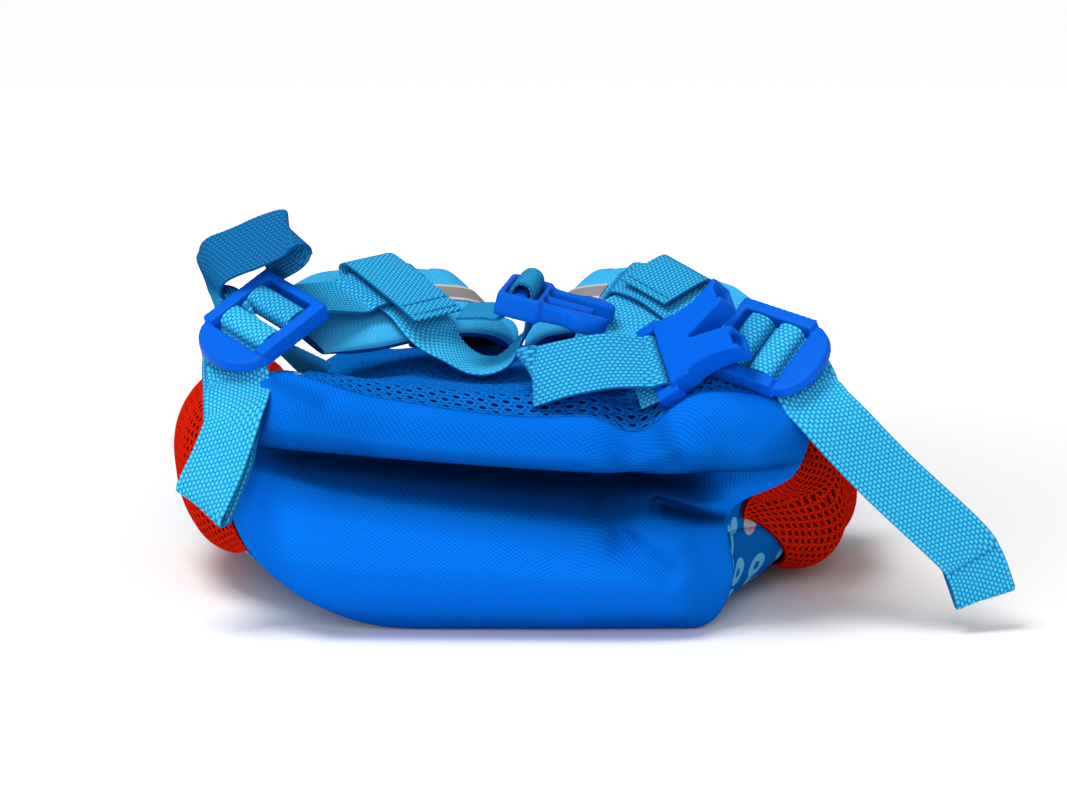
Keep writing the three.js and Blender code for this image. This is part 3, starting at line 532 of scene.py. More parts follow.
def base_surface(u, v):
    """The base panel fills the base seam: four sides of the rim, blended, then rolled and folded."""

    def side(from_turn, to_turn, t):
        return body_point(mix(from_turn, to_turn, t), 0)

    zero = np.zeros_like(u)
    one = np.ones_like(u)
    u_, v_ = u[:, None], v[:, None]
    across = (1 - v_) * side(0.625, 0.875, u) + v_ * side(0.375, 0.125, u)
    across = across + (1 - u_) * side(0.625, 0.375, v) + u_ * side(0.875, 1.125, v)
    low = (1 - u_) * side(0.625, 0.875, zero) + u_ * side(0.625, 0.875, one)
    high = (1 - u_) * side(0.375, 0.125, zero) + u_ * side(0.375, 0.125, one)
    flat = across - (1 - v_) * low - v_ * high
    x, z = flat[:, 0], flat[:, 2]
    edge = np.minimum(np.minimum(u, 1 - u), np.minimum(v, 1 - v))
    slack = smooth_step(edge, 0, FOLD_EDGE)
    arch = np.sqrt(np.maximum(0, 1 - (2 * u - 1) ** 4)) * np.sqrt(np.maximum(0, 1 - (2 * v - 1) ** 4))
    y = -SEAM_GAP - sizes().cloth / MM - BASE_BULGE * arch
    y += slack * (fold_heights(x, z, BASE_FOLDS) + valley_depth(x, z))
    return np.stack((x, y, z), axis=1)


def pocket_surface(side, sink=0.0):
    """A mesh pocket stands off its gusset, tightest at its seams and open towards the mouth."""
    from_turn, to_turn, rise, from_y, to_y, bulge = POCKETS[side]

    def surface(u, v):
        turn = mix(from_turn + rise * (1 - smooth_step(u, 0, 0.45)), to_turn, v)
        y = mix(from_y, to_y, u)
        up = np.clip(v if side == "right" else 1 - v, 0, 1)
        flank = np.where(up < POCKET_CREST, up / POCKET_CREST, (1 - up) / (1 - POCKET_CREST))
        roundness = np.where(up < POCKET_CREST, POCKET_ROUND["below"], POCKET_ROUND["above"])
        swell = np.sin(np.pi / 2 * flank) ** roundness * (1 - (1 - u) ** 3)
        waves = np.sin(2 * np.pi * (POCKET_SLACK["along"] * u + POCKET_SLACK["up"] * v))
        slack = POCKET_SLACK["height"] * waves * np.sin(np.pi * u) * swell
        off = POCKET_GAP + sizes().mesh_cloth / MM + bulge * swell + slack - sink
        return body_point(turn, y) + off[:, None] * body_out(turn, y)

    return surface


class Strap:
    """A shoulder strap's centre line and directions, from its lower end at 0 to the yoke at 1."""

    def __init__(self, side):
        rows = np.array(STRAP_ROWS, float)
        if side == "right":
            rows[:, 0] = 2 * STRAP_MIRROR_X - rows[:, 0]
            rows[:, 2] -= rows[:, 7]
            rows[:, 4:6] *= -1
        self.centres = rows[:, :3]
        self.sides = rows[:, 3:6]
        self.halves = rows[:, 6]
        self.steps = np.linspace(0, 1, len(rows))

    def directions(self, s):
        along = curve_tangent(self.centres, s)
        across = curve_point(self.sides, s)
        across = unit(across - along * np.sum(along * across, axis=1, keepdims=True))
        return along, across, np.cross(along, across)

    def half(self, s):
        return read_column(self.steps, self.halves, s)

    def point(self, s, out, lift):
        _, across, normal = self.directions(s)
        return curve_point(self.centres, s) + out[:, None] * across + lift[:, None] * normal


def pad_half(s):
    """Half the pad's thickness in the middle of the strap."""
    rise = smooth_step(s, -0.02, 0.1)
    fall = 1 - smooth_step(s, 0.9, 1.02)
    return (STRAP_EDGE + (STRAP_PAD - STRAP_EDGE) * np.minimum(rise, fall)) / 2


class PlasticFrame:
    """A lock's or buckle half's own directions: along it, across it and up from its face."""

    def __init__(self, centre, aim, up):
        self.centre = np.array(centre, float)
        self.along = unit(np.array(aim, float))
        up = np.array(up, float)
        self.up = unit(up - self.along * self.along.dot(up))
        self.across = np.cross(self.up, self.along)

    def row(self, along, above, out=0.0):
        centre = self.centre + along * self.along + above * self.up + out * self.across
        return np.concatenate((centre, self.across))

    def matrix(self):
        """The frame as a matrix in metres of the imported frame."""
        turn = Matrix((self.along, self.across, self.up)).transposed().to_4x4()
        return Matrix.Translation(to_row(self.centre)) @ turn


def align_sides(rows):
    """Rows whose sideways directions all agree, so that the ribbon isn't twisted over."""
    rows = np.array(rows, float)
    for i in range(1, len(rows)):
        if rows[i - 1, 3:].dot(rows[i, 3:]) < 0:
            rows[i, 3:] *= -1
    return rows


def hem_rows(rows):
    """The end of a ribbon turned back over its face."""
    tip = rows[-1]
    along = unit(tip[:3] - rows[-2, :3])
    side = unit(tip[3:] - along * along.dot(tip[3:]))
    up = -np.cross(along, side)
    layer = sizes().webbing_thick / MM + LAYER_GAP
    steps = ((-0.8, layer / 2), (0, layer), (HEM_LENGTH * 0.4, layer), (HEM_LENGTH * 0.8, layer))
    hem = [np.concatenate((tip[:3] - back * along + lift * up, tip[3:])) for back, lift in steps]
    return np.vstack((rows, hem))


def strap_webbing_rows(side):
    strap = Strap(side)
    rows = []
    for at, off in STRAP_WEBBING_ROWS:
        s = np.array((at,), float)
        lift = pad_half(s) + LAYER_GAP + sizes().webbing_thick / MM / 2 + off
        rows.append(np.concatenate((strap.point(s, s * 0, lift)[0], strap.directions(s)[1][0])))
    lock = PlasticFrame(*LOCK_PLACES[side])
    rows.extend(lock.row(along, above) for along, above in FIXED_LOOP)
    return align_sides(rows)


def adjuster_rows(side):
    lock = PlasticFrame(*LOCK_PLACES[side])
    rows = [ANCHORS[side]]
    rows.extend(lock.row(along, above) for along, above in ADJUSTER_LOOP)
    rows.extend(lock.row(*place) for place in UNDER_TAB[side])
    rows.extend(TAILS[side])
    rows = align_sides(rows)
    return hem_rows(rows) if side == "right" else rows


def chest_loop_rows(side):
    strap = Strap(side)
    at = np.array((CHEST_LOOP_AT,))
    along, across, _ = strap.directions(at)
    towards = -across if side == "left" else across
    middle = pad_half(at) + LAYER_GAP + sizes().webbing_thick / MM / 2 + TUNNEL
    rows = []
    for out, above in CHEST_LOOP:
        if above < 0 or out <= CHEST_HEM[side]:
            centre = strap.point(at, at * 0, middle + above) + out * towards
            rows.append(np.concatenate((centre[0], along[0])))
    return rows


def chest_rows(side):
    if side == "left":
        male = PlasticFrame(*BUCKLE_PLACES["male"])
        rows = [*chest_loop_rows(side), *CHEST_LEFT, *(male.row(*place) for place in MALE_LOOP)]
    else:
        female = PlasticFrame(*BUCKLE_PLACES["female"])
        rows = [*(female.row(*place) for place in FEMALE_LOOP), *CHEST_RIGHT]
        rows.extend(reversed(chest_loop_rows(side)))
    return align_sides(rows)


class Ribbon:
    """A length of webbing along rows of a centre and a sideways direction, measured along its length."""

    def __init__(self, rows):
        self.rows = rows
        self.t = np.linspace(0, 1, len(rows) * 60)
        steps = np.linalg.norm(np.diff(curve_point(rows[:, :3], self.t), axis=0), axis=1)
        self.reach = np.concatenate(((0,), np.cumsum(steps)))
        self.length = self.reach[-1]

    def place(self, run, across_mm, lift):
        """Points at a run along the ribbon, a distance from its middle and a height above it."""
        t = np.interp(run, self.reach, self.t)
        along = curve_tangent(self.rows[:, :3], t)
        across = curve_point(self.rows[:, 3:], t)
        across = unit(across - along * np.sum(along * across, axis=1, keepdims=True))
        normal = np.cross(along, across)
        centre = curve_point(self.rows[:, :3], t)
        return centre + across_mm[:, None] * across + lift[:, None] * normal


def number_property(name, description, value, **options):
    return bpy.props.FloatProperty(name=name, description=description, default=value, **options)


def length_property(name, description, value):
    return number_property(name, description, value, unit="LENGTH")


def colour_property(name, description, value):
    return bpy.props.FloatVectorProperty(
        name=name, description=description, default=value, size=3, subtype="COLOR", min=0, max=1)


class BagSizes(bpy.types.PropertyGroup):
    """Sizes that a user may change."""

    cloth: length_property("Cloth", "Thickness of the bag's cloth", 0.0014)
    mesh_cloth: length_property("Pocket mesh", "Thickness of the side pockets' mesh", 0.0012)
    back_roll: length_property("Back roll", "How far the padded back rolls up near the base", 0.0045)
    back_pad: length_property("Back pad", "Thickness of the padded back", 0.005)
    webbing_width: length_property("Webbing width", "Width of all webbing", 0.02)
    webbing_thick: length_property("Webbing thickness", "Thickness of all webbing", 0.0012)
    webbing_ribs: bpy.props.IntProperty(
        name="Webbing ribs", description="Ribs side by side across the webbing", default=16, min=2)
    webbing_stitch: length_property("Webbing stitch", "Length of one stitch of a rib", 0.0017)
    webbing_relief: length_property("Webbing relief", "Height of the ribs", 0.0004)
    pocket_hole: length_property("Pocket hole pitch", "Distance between the pocket mesh's holes", 0.0041)
    back_hole: length_property("Back hole pitch", "Distance between the back mesh's holes", 0.0039)
    weave: length_property("Cloth weave", "Distance between the cloth's threads", 0.001)


class BagColours(bpy.types.PropertyGroup):
    """Colours that a user may change."""

    base: colour_property("Base cloth", "Royal blue of the base and top panels", (0.002, 0.198, 0.92))
    printed: colour_property("Printed cloth", "Ground of the front panel and sides", (0.003, 0.15, 0.56))
    print_pale: colour_property("Print, pale", "Pale rings of the print", (0.12, 0.45, 0.72))
    print_grey: colour_property("Print, grey", "Grey spots of the print", (0.42, 0.34, 0.37))
    mesh_back: colour_property("Back mesh", "Air mesh of the back", (0.004, 0.19, 0.74))
    foam: colour_property("Back foam", "Foam seen through the back mesh", (0.001, 0.014, 0.10))
    pocket: colour_property("Pocket mesh", "Orange red mesh of the side pockets", (0.82, 0.018, 0.003))
    strap: colour_property("Strap cloth", "Sky blue top of the straps", (0.06, 0.55, 1.0))
    strap_under: colour_property("Strap mesh", "Navy mesh under the straps", (0.004, 0.07, 0.33))
    webbing: colour_property("Webbing", "Sky blue webbing", (0.06, 0.64, 1.0))
    webbing_groove: colour_property("Webbing grooves", "Shade between the ribs", (0.001, 0.06, 0.26))
    reflective: colour_property("Reflective tape", "Grey tape on the straps", (0.34, 0.31, 0.31))
    reflective_edge: colour_property("Reflective edge", "Pale edges of the tape", (0.62, 0.60, 0.58))
    plastic: colour_property("Plastic", "Blue of the locks and buckle", (0.001, 0.115, 0.67))
    zip_tape: colour_property("Zip tape", "Tape and teeth of the zip", (0.004, 0.09, 0.42))
    thread: colour_property("Thread", "Sewing thread", (0.02, 0.28, 0.62))


class BagStage(bpy.types.PropertyGroup):
    """Camera, floor and lights."""

    lens: number_property("Lens", "Focal length in millimetres", 85.0)
    distance: length_property("Distance", "From the camera to what it looks at", 0.78728)
    elevation: number_property("Elevation", "Camera's height as an angle", math.radians(10), subtype="ANGLE")
    look_at: bpy.props.FloatVectorProperty(
        name="Look at", description="Point the camera looks at, from the base seam's origin",
        default=(0.009, 0.0, 0.073), size=3, subtype="TRANSLATION")
    key_power: number_property("Key light", "Power of the main light", 14.0)
    fill_power: number_property("Fill light", "Power of the front light", 6.5)
    world_light: number_property("Sky", "Strength of the even light", 0.3)
    floor: colour_property("Floor", "Plain pale floor", (0.93, 0.93, 0.93))
    floor_glow: number_property("Floor glow", "How far the floor is lit from below, as on a light table", 0.7)


def sizes():
    return bpy.context.scene.bag_sizes


def colours():
    return bpy.context.scene.bag_colours


# Materials


def new_group(name, inputs, outputs):
    """An empty shader node group with named sockets."""
    group = bpy.data.node_groups.new(name, "ShaderNodeTree")
    for socket, kind in inputs:
        group.interface.new_socket(socket, in_out="INPUT", socket_type=kind)
    for socket, kind in outputs:
        group.interface.new_socket(socket, in_out="OUTPUT", socket_type=kind)
    return group, group.nodes.new("NodeGroupInput"), group.nodes.new("NodeGroupOutput")


def math_node(tree, operation, first, second=None, third=None):
    """A Math node whose inputs are sockets or plain numbers."""
    node = tree.nodes.new("ShaderNodeMath")
    node.operation = operation
    for socket, value in zip(node.inputs, (first, second, third)):
        if isinstance(value, bpy.types.NodeSocket):
            tree.links.new(value, socket)
        elif value is not None:
            socket.default_value = value
    return node.outputs[0]


def shared_group(name, make):
    """A node group made once."""
    return bpy.data.node_groups.get(name) or make(name)


def place_group(tree, group, vector, **values):
    """A node of a shared group, with its vector linked and its numbers set."""
    node = tree.nodes.new("ShaderNodeGroup")
    node.node_tree = group
    tree.links.new(vector, node.inputs["Vector"])
    for socket, value in values.items():
        node.inputs[socket].default_value = value
    return node


def grain_group(name):
    """Fine random grain."""
    inputs = (("Vector", "NodeSocketVector"), ("Scale", "NodeSocketFloat"), ("Detail", "NodeSocketFloat"))
    group, given, put = new_group(name, inputs, (("Grain", "NodeSocketFloat"),))
    noise = group.nodes.new("ShaderNodeTexNoise")
    for socket, _ in inputs:
        group.links.new(given.outputs[socket], noise.inputs[socket])
    group.links.new(noise.outputs["Fac"], put.inputs["Grain"])
    return group


def add_grain(tree, vector, scale, detail):
    grain = place_group(tree, shared_group("fine_grain", grain_group), vector, Scale=scale, Detail=detail)
    return grain.outputs["Grain"]


def weave_group(name):
    """Plain weave: threads over and under each other, with a slow mottle."""
    inputs = (("Vector", "NodeSocketVector"), ("Pitch", "NodeSocketFloat"))
    outputs = (("Height", "NodeSocketFloat"), ("Mottle", "NodeSocketFloat"))
    group, given, put = new_group(name, inputs, outputs)
    split = group.nodes.new("ShaderNodeSeparateXYZ")
    group.links.new(given.outputs["Vector"], split.inputs[0])
    waves = []
    for axis in (0, 1):
        turns = math_node(group, "DIVIDE", split.outputs[axis], given.outputs["Pitch"])
        waves.append(math_node(group, "SINE", math_node(group, "MULTIPLY", turns, math.pi)))
    crossing = math_node(group, "MULTIPLY", waves[0], waves[1])
    group.links.new(math_node(group, "MULTIPLY_ADD", crossing, 0.5, 0.5), put.inputs["Height"])
    group.links.new(add_grain(group, given.outputs["Vector"], *MOTTLE), put.inputs["Mottle"])
    return group


def webbing_group(name):
    """Ribs of stitches along the webbing, each rib half a stitch on from the next."""
    inputs = (("Vector", "NodeSocketVector"), ("Rib", "NodeSocketFloat"), ("Stitch", "NodeSocketFloat"))
    group, given, put = new_group(name, inputs, (("Crown", "NodeSocketFloat"),))

    def arch(value):
        turn = math_node(group, "MULTIPLY", math_node(group, "FRACT", value), math.pi)
        return math_node(group, "SINE", turn)

    split = group.nodes.new("ShaderNodeSeparateXYZ")
    group.links.new(given.outputs["Vector"], split.inputs[0])
    ribs = math_node(group, "DIVIDE", split.outputs[1], given.outputs["Rib"])
    stitches = math_node(group, "DIVIDE", split.outputs[0], given.outputs["Stitch"])
    shifted = math_node(group, "MULTIPLY_ADD", math_node(group, "FLOOR", ribs), 0.5, stitches)
    group.links.new(math_node(group, "MULTIPLY", arch(ribs), arch(shifted)), put.inputs["Crown"])
    return group


def new_material(name, roughness, specular=0.0):
    material = bpy.data.materials.new(name)
    material.use_nodes = True
    shader = material.node_tree.nodes["Principled BSDF"]
    shader.inputs["Roughness"].default_value = roughness
    shader.inputs["Specular IOR Level"].default_value = specular
    return material, material.node_tree, shader


def own_place(tree):
    return tree.nodes.new("ShaderNodeTexCoord").outputs["Object"]


def uv_place(tree):
    return tree.nodes.new("ShaderNodeUVMap").outputs["UV"]


def colour_mix(tree, share, first, second):
    """A colour between two, where share is a socket and each colour a socket or three numbers."""
    node = tree.nodes.new("ShaderNodeMix")
    node.data_type = "RGBA"
    tree.links.new(share, node.inputs["Factor"])
    for socket, value in zip((node.inputs[6], node.inputs[7]), (first, second)):
        if isinstance(value, bpy.types.NodeSocket):
            tree.links.new(value, socket)
        else:
            socket.default_value = (*value, 1.0)
    return node.outputs[2]


def darker(colour, share):
    return tuple(channel * share for channel in colour)


def two_tone(tree, share, colour, shade):
    """A colour that runs from a darker shade of itself to itself."""
    return colour_mix(tree, share, darker(colour, shade), tuple(colour))


def shade_folds(tree, colour, shade):
    """A colour that gives way to a shade where the piece's folds are deep."""
    fold = tree.nodes.new("ShaderNodeAttribute")
    fold.attribute_name = "fold_shade"
    return colour_mix(tree, fold.outputs["Fac"], colour, shade)


def add_bump(tree, shader, height, strength, distance):
    bump = tree.nodes.new("ShaderNodeBump")
    bump.inputs["Strength"].default_value = strength
    bump.inputs["Distance"].default_value = distance
    tree.links.new(height, bump.inputs["Height"])
    tree.links.new(bump.outputs["Normal"], shader.inputs["Normal"])


def cloth_material(name, colour):
    """Woven cloth that follows the piece's own UV map, which is in metres."""
    look = CLOTH_LOOK
    material, tree, shader = new_material(name, look["roughness"])
    weave = place_group(tree, shared_group("plain_weave", weave_group), uv_place(tree), Pitch=sizes().weave)
    threads = two_tone(tree, weave.outputs["Height"], colour, look["low_threads"])
    share = math_node(tree, "MULTIPLY", weave.outputs["Mottle"], look["mottle"])
    mottled = colour_mix(tree, share, threads, darker(colour, look["mottle_shade"]))
    folded = shade_folds(tree, mottled, darker(colour, look["fold_shade"]))
    tree.links.new(folded, shader.inputs["Base Color"])
    add_bump(tree, shader, weave.outputs["Height"], *look["bump"])
    return material


def printed_material(name):
    """Cloth with a plain print of pale rings and grey spots."""
    material = cloth_material(name, colours().printed)
    tree = material.node_tree
    shader = tree.nodes["Principled BSDF"]
    ground = shader.inputs["Base Color"].links[0].from_socket
    place = own_place(tree)

    def from_centre(scale):
        cells = tree.nodes.new("ShaderNodeTexVoronoi")
        cells.inputs["Scale"].default_value = scale
        tree.links.new(place, cells.inputs["Vector"])
        return cells.outputs["Distance"]

    away = from_centre(PRINT["ring_scale"])
    inside = math_node(tree, "LESS_THAN", away, PRINT["ring_out"])
    outside = math_node(tree, "GREATER_THAN", away, PRINT["ring_in"])
    ring = math_node(tree, "MULTIPLY", inside, outside)
    ringed = colour_mix(tree, ring, ground, tuple(colours().print_pale))
    spot = math_node(tree, "LESS_THAN", from_centre(PRINT["spot_scale"]), PRINT["spot"])
    spotted = colour_mix(tree, spot, ringed, tuple(colours().print_grey))
    tree.links.new(spotted, shader.inputs["Base Color"])
    return material


def webbing_material(name):
    """Ribbed webbing that follows the ribbon's UV map, with shade between the ribs."""
    look = WEBBING_LOOK
    material, tree, shader = new_material(name, look["roughness"])
    place = uv_place(tree)
    rib = sizes().webbing_width / sizes().webbing_ribs
    group = shared_group("webbing_ribs", webbing_group)
    ribs = place_group(tree, group, place, Rib=rib, Stitch=sizes().webbing_stitch)
    crown = math_node(tree, "POWER", ribs.outputs["Crown"], look["crown"])
    threads = colour_mix(tree, crown, tuple(colours().webbing_groove), tuple(colours().webbing))
    fray = add_grain(tree, place, *look["fray"])
    worn = math_node(tree, "MULTIPLY", fray, look["worn"])
    frayed = colour_mix(tree, worn, threads, darker(colours().webbing, look["worn_shade"]))
    folded = shade_folds(tree, frayed, darker(colours().webbing_groove, look["fold_shade"]))
    tree.links.new(folded, shader.inputs["Base Color"])
    add_bump(tree, shader, fray, *look["bump"])
    return material


def grained_material(name, kind, colour):
    """Mesh, thread or plastic: fine grain in its colour, and in gloss and relief where its look has them."""
    look = GRAINED_LOOKS[kind]
    material, tree, shader = new_material(name, look["roughness"], look.get("specular", 0.0))
    grain = add_grain(tree, own_place(tree), *look["grain"])
    tree.links.new(two_tone(tree, grain, colour, look["shade"]), shader.inputs["Base Color"])
    if "gloss" in look:
        tree.links.new(math_node(tree, "MULTIPLY_ADD", grain, *look["gloss"]), shader.inputs["Roughness"])
    if "bump" in look:
        add_bump(tree, shader, grain, *look["bump"])
    return material


def reflective_material(name):
    """Grey reflective tape: a fine grid over a silvery ground, with pale edges."""
    look = TAPE_LOOK
    material, tree, shader = new_material(name, look["roughness"], look["specular"])
    place = uv_place(tree)
    weave = place_group(tree, shared_group("plain_weave", weave_group), place, Pitch=look["weave"])
    tape = two_tone(tree, weave.outputs["Mottle"], colours().reflective, look["shade"])
    split = tree.nodes.new("ShaderNodeSeparateXYZ")
    tree.links.new(place, split.inputs[0])
    middle = math_node(tree, "SUBTRACT", split.outputs[1], REFLECTIVE["width"] * MM / 2)
    away = math_node(tree, "ABSOLUTE", middle)
    edge = math_node(tree, "GREATER_THAN", away, (REFLECTIVE["width"] / 2 - look["edge"]) * MM)
    edged = colour_mix(tree, edge, tape, tuple(colours().reflective_edge))
    tree.links.new(edged, shader.inputs["Base Color"])
    add_bump(tree, shader, weave.outputs["Height"], *look["bump"])
    return material


def named_material(name, make, *values):
    """A material made once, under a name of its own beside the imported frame's materials."""
    look = f"{name}_look"
    return bpy.data.materials.get(look) or make(look, *values)


# Meshes


def place_vertices(bm, surface, width, length):
    """Moves a flat mesh, length by width, on to a surface, and lays its UV map in metres."""
    flat = np.array([vert.co for vert in bm.verts])
    u = np.clip(flat[:, 0] / length, 0, 1)
    v = np.clip(flat[:, 1] / width, 0, 1)
    layer = bm.loops.layers.uv.verify()
    for face in bm.faces:
        for loop in face.loops:
            loop[layer].uv = (loop.vert.co.x * MM, loop.vert.co.y * MM)
    for vert, point in zip(bm.verts, to_row(surface(u, v))):
        vert.co = point


def flat_grid(faces, width, length):
    """A flat rectangle of faces, from 0 to length and from 0 to width, in millimetres."""
    bm = bmesh.new()
    stretch = Matrix.Diagonal((length, width, 1.0, 1.0))
    middle = Matrix.Translation((length / 2, width / 2, 0))
    along, across = faces
    bmesh.ops.create_grid(bm, x_segments=along, y_segments=across, size=0.5, matrix=middle @ stretch)
    return bm


def honeycomb(pitch, width, length, hole):
    """A flat rectangle of mesh with six-sided holes, in millimetres."""
    bm = bmesh.new()
    radius = pitch / math.sqrt(3)
    row_step = 1.5 * radius
    turn = Matrix.Rotation(math.pi / 6, 4, "Z")
    for row in range(math.ceil(width / row_step) + 2):
        for column in range(math.ceil(length / pitch) + 2):
            centre = Vector(((column + row % 2 / 2 - 0.5) * pitch, (row - 0.5) * row_step, 0))
            bmesh.ops.create_circle(
                bm, cap_ends=True, segments=6, radius=radius, matrix=Matrix.Translation(centre) @ turn)
    bmesh.ops.remove_doubles(bm, verts=bm.verts, dist=pitch * 0.02)
    for corner, sign in (((0, 0, 0), -1), ((length, width, 0), 1)):
        for outward in ((sign, 0, 0), (0, sign, 0)):
            geometry = [*bm.verts, *bm.edges, *bm.faces]
            bmesh.ops.bisect_plane(bm, geom=geometry, plane_co=corner, plane_no=outward, clear_outer=True)
    whole = [face for face in bm.faces if face.calc_area() > WHOLE_CELL * pitch * row_step]
    bmesh.ops.inset_individual(bm, faces=whole, thickness=(pitch - hole) / 2, use_even_offset=True)
    bmesh.ops.delete(bm, geom=whole, context="FACES_ONLY")
    bmesh.ops.delete(bm, geom=[edge for edge in bm.edges if not edge.link_faces], context="EDGES")
    bmesh.ops.recalc_face_normals(bm, faces=bm.faces)
    if sum(face.normal.z for face in bm.faces) < 0:
        bmesh.ops.reverse_faces(bm, faces=bm.faces)
    return bm


def finish_piece(name, bm, materials, nodes=()):
    """A finished mesh as a piece of the bag."""
    mesh = bpy.data.meshes.new(name)
    bm.to_mesh(mesh)
    bm.free()
    mesh.shade_smooth()
    for material in materials:
        mesh.materials.append(material)
    piece = bpy.data.objects.new(name, mesh)
    bpy.context.scene.collection.objects.link(piece)
    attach(piece, "root")
    if nodes:
        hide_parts(*nodes)
    return piece


def thicken(piece, thickness, offset=-1.0):
    solid = piece.modifiers.new("Thickness", "SOLIDIFY")
    solid.thickness = thickness
    solid.offset = offset


def set_fold_shade(piece, values):
    """Stores how dark each of a piece's points is for shade_folds."""
    shade = piece.data.attributes.new("fold_shade", "FLOAT", "POINT")
    shade.data.foreach_set("value", values)


def surface_reach(surface):
    """Longest run along and across a surface, in millimetres."""
    steps = np.linspace(0, 1, 80)
    runs = []
    for along in (True, False):
        lengths = []
        for fixed in np.linspace(0, 1, 9):
            still = np.full_like(steps, fixed)
            points = surface(steps, still) if along else surface(still, steps)
            lengths.append(np.linalg.norm(np.diff(points, axis=0), axis=1).sum())
        runs.append(max(lengths))
    return runs


def surface_area(surface):
    """Area of a surface without its holes, in square millimetres."""
    steps = np.linspace(0, 1, 120)
    u, v = (grid.ravel() for grid in np.meshgrid(steps, steps, indexing="ij"))
    points = surface(u, v).reshape(len(steps), len(steps), 3)
    along = points[1:, :-1] - points[:-1, :-1]
    across = points[:-1, 1:] - points[:-1, :-1]
    return np.linalg.norm(np.cross(along, across), axis=2).sum()


def declare_sheet(surface, width, length):
    """Works out the area of a sheet's outline, no more than the rectangle it was cut from; the area is not
    kept or used.
    """
    area = min(surface_area(surface), width * length) * MM ** 2


def cloth_panel(node, surface, material):
    """A panel of the bag's cloth, made at the size that it was cut to."""
    length, width = surface_reach(surface)
    bm = flat_grid(FACES[node], width, length)
    place_vertices(bm, surface, width, length)
    piece = finish_piece(f"{node}_cloth", bm, [material], [node])
    thicken(piece, sizes().cloth)
    declare_sheet(surface, width, length)
    return piece


def add_stitch(bm, start, end):
    """A short round of thread between two points."""
    along = end - start
    turn = along.to_track_quat("Z", "Y").to_matrix().to_4x4()
    place = Matrix.Translation((start + end) / 2) @ turn
    radius = SEAM["thread"] * MM
    bmesh.ops.create_cone(
        bm, cap_ends=True, segments=6, radius1=radius, radius2=radius, depth=along.length, matrix=place)


def add_box(bm, place, low, high):
    """A box between two corners of a plastic piece's own frame, in millimetres."""
    low, high = np.array(low, float), np.array(high, float)
    stretch = Matrix.Diagonal((*((high - low) * MM), 1.0))
    middle = Matrix.Translation(Vector((low + high) / 2 * MM))
    bmesh.ops.create_cube(bm, size=1.0, matrix=place @ middle @ stretch)


def add_prism(bm, place, outline, low, high):
    """A prism on an outline of a plastic piece's own frame, between two heights, in millimetres."""
    verts = [bm.verts.new(place @ Vector((a * MM, b * MM, low * MM))) for a, b in outline]
    bottom = bm.faces.new(verts)
    made = bmesh.ops.extrude_face_region(bm, geom=[bottom], use_keep_orig=True)["geom"]
    raised = [item for item in made if isinstance(item, bmesh.types.BMVert)]
    bmesh.ops.translate(bm, verts=raised, vec=place.to_3x3() @ Vector((0, 0, (high - low) * MM)))
    faces = list({face for vert in (*verts, *raised) for face in vert.link_faces})
    bmesh.ops.recalc_face_normals(bm, faces=faces)


def moulded_piece(node, build):
    """A piece that replaces a CAD node, with its edges softly rounded, as moulded plastic has."""
    bm = bmesh.new()
    build(bm)
    plastic = named_material("blue_plastic", grained_material, "plastic", colours().plastic)
    piece = finish_piece(f"{node}_plastic", bm, [plastic], [node])
    voxel, passes = MOULDING[node]
    remesh = piece.modifiers.new("Voxels", "REMESH")
    remesh.mode = "VOXEL"
    remesh.voxel_size = voxel * MM
    remesh.use_smooth_shade = True
    soften = piece.modifiers.new("Soften", "SMOOTH")
    soften.factor = 0.5
    soften.iterations = passes


def moulded_copy(node, add_details=None):
    """A CAD node's own shape as a moulded piece, with details added."""

    def build(bm):
        bm.from_mesh(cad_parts[node].data)
        bmesh.ops.remove_doubles(bm, verts=bm.verts, dist=WELD)
        if add_details:
            add_details(bm)

    moulded_piece(node, build)


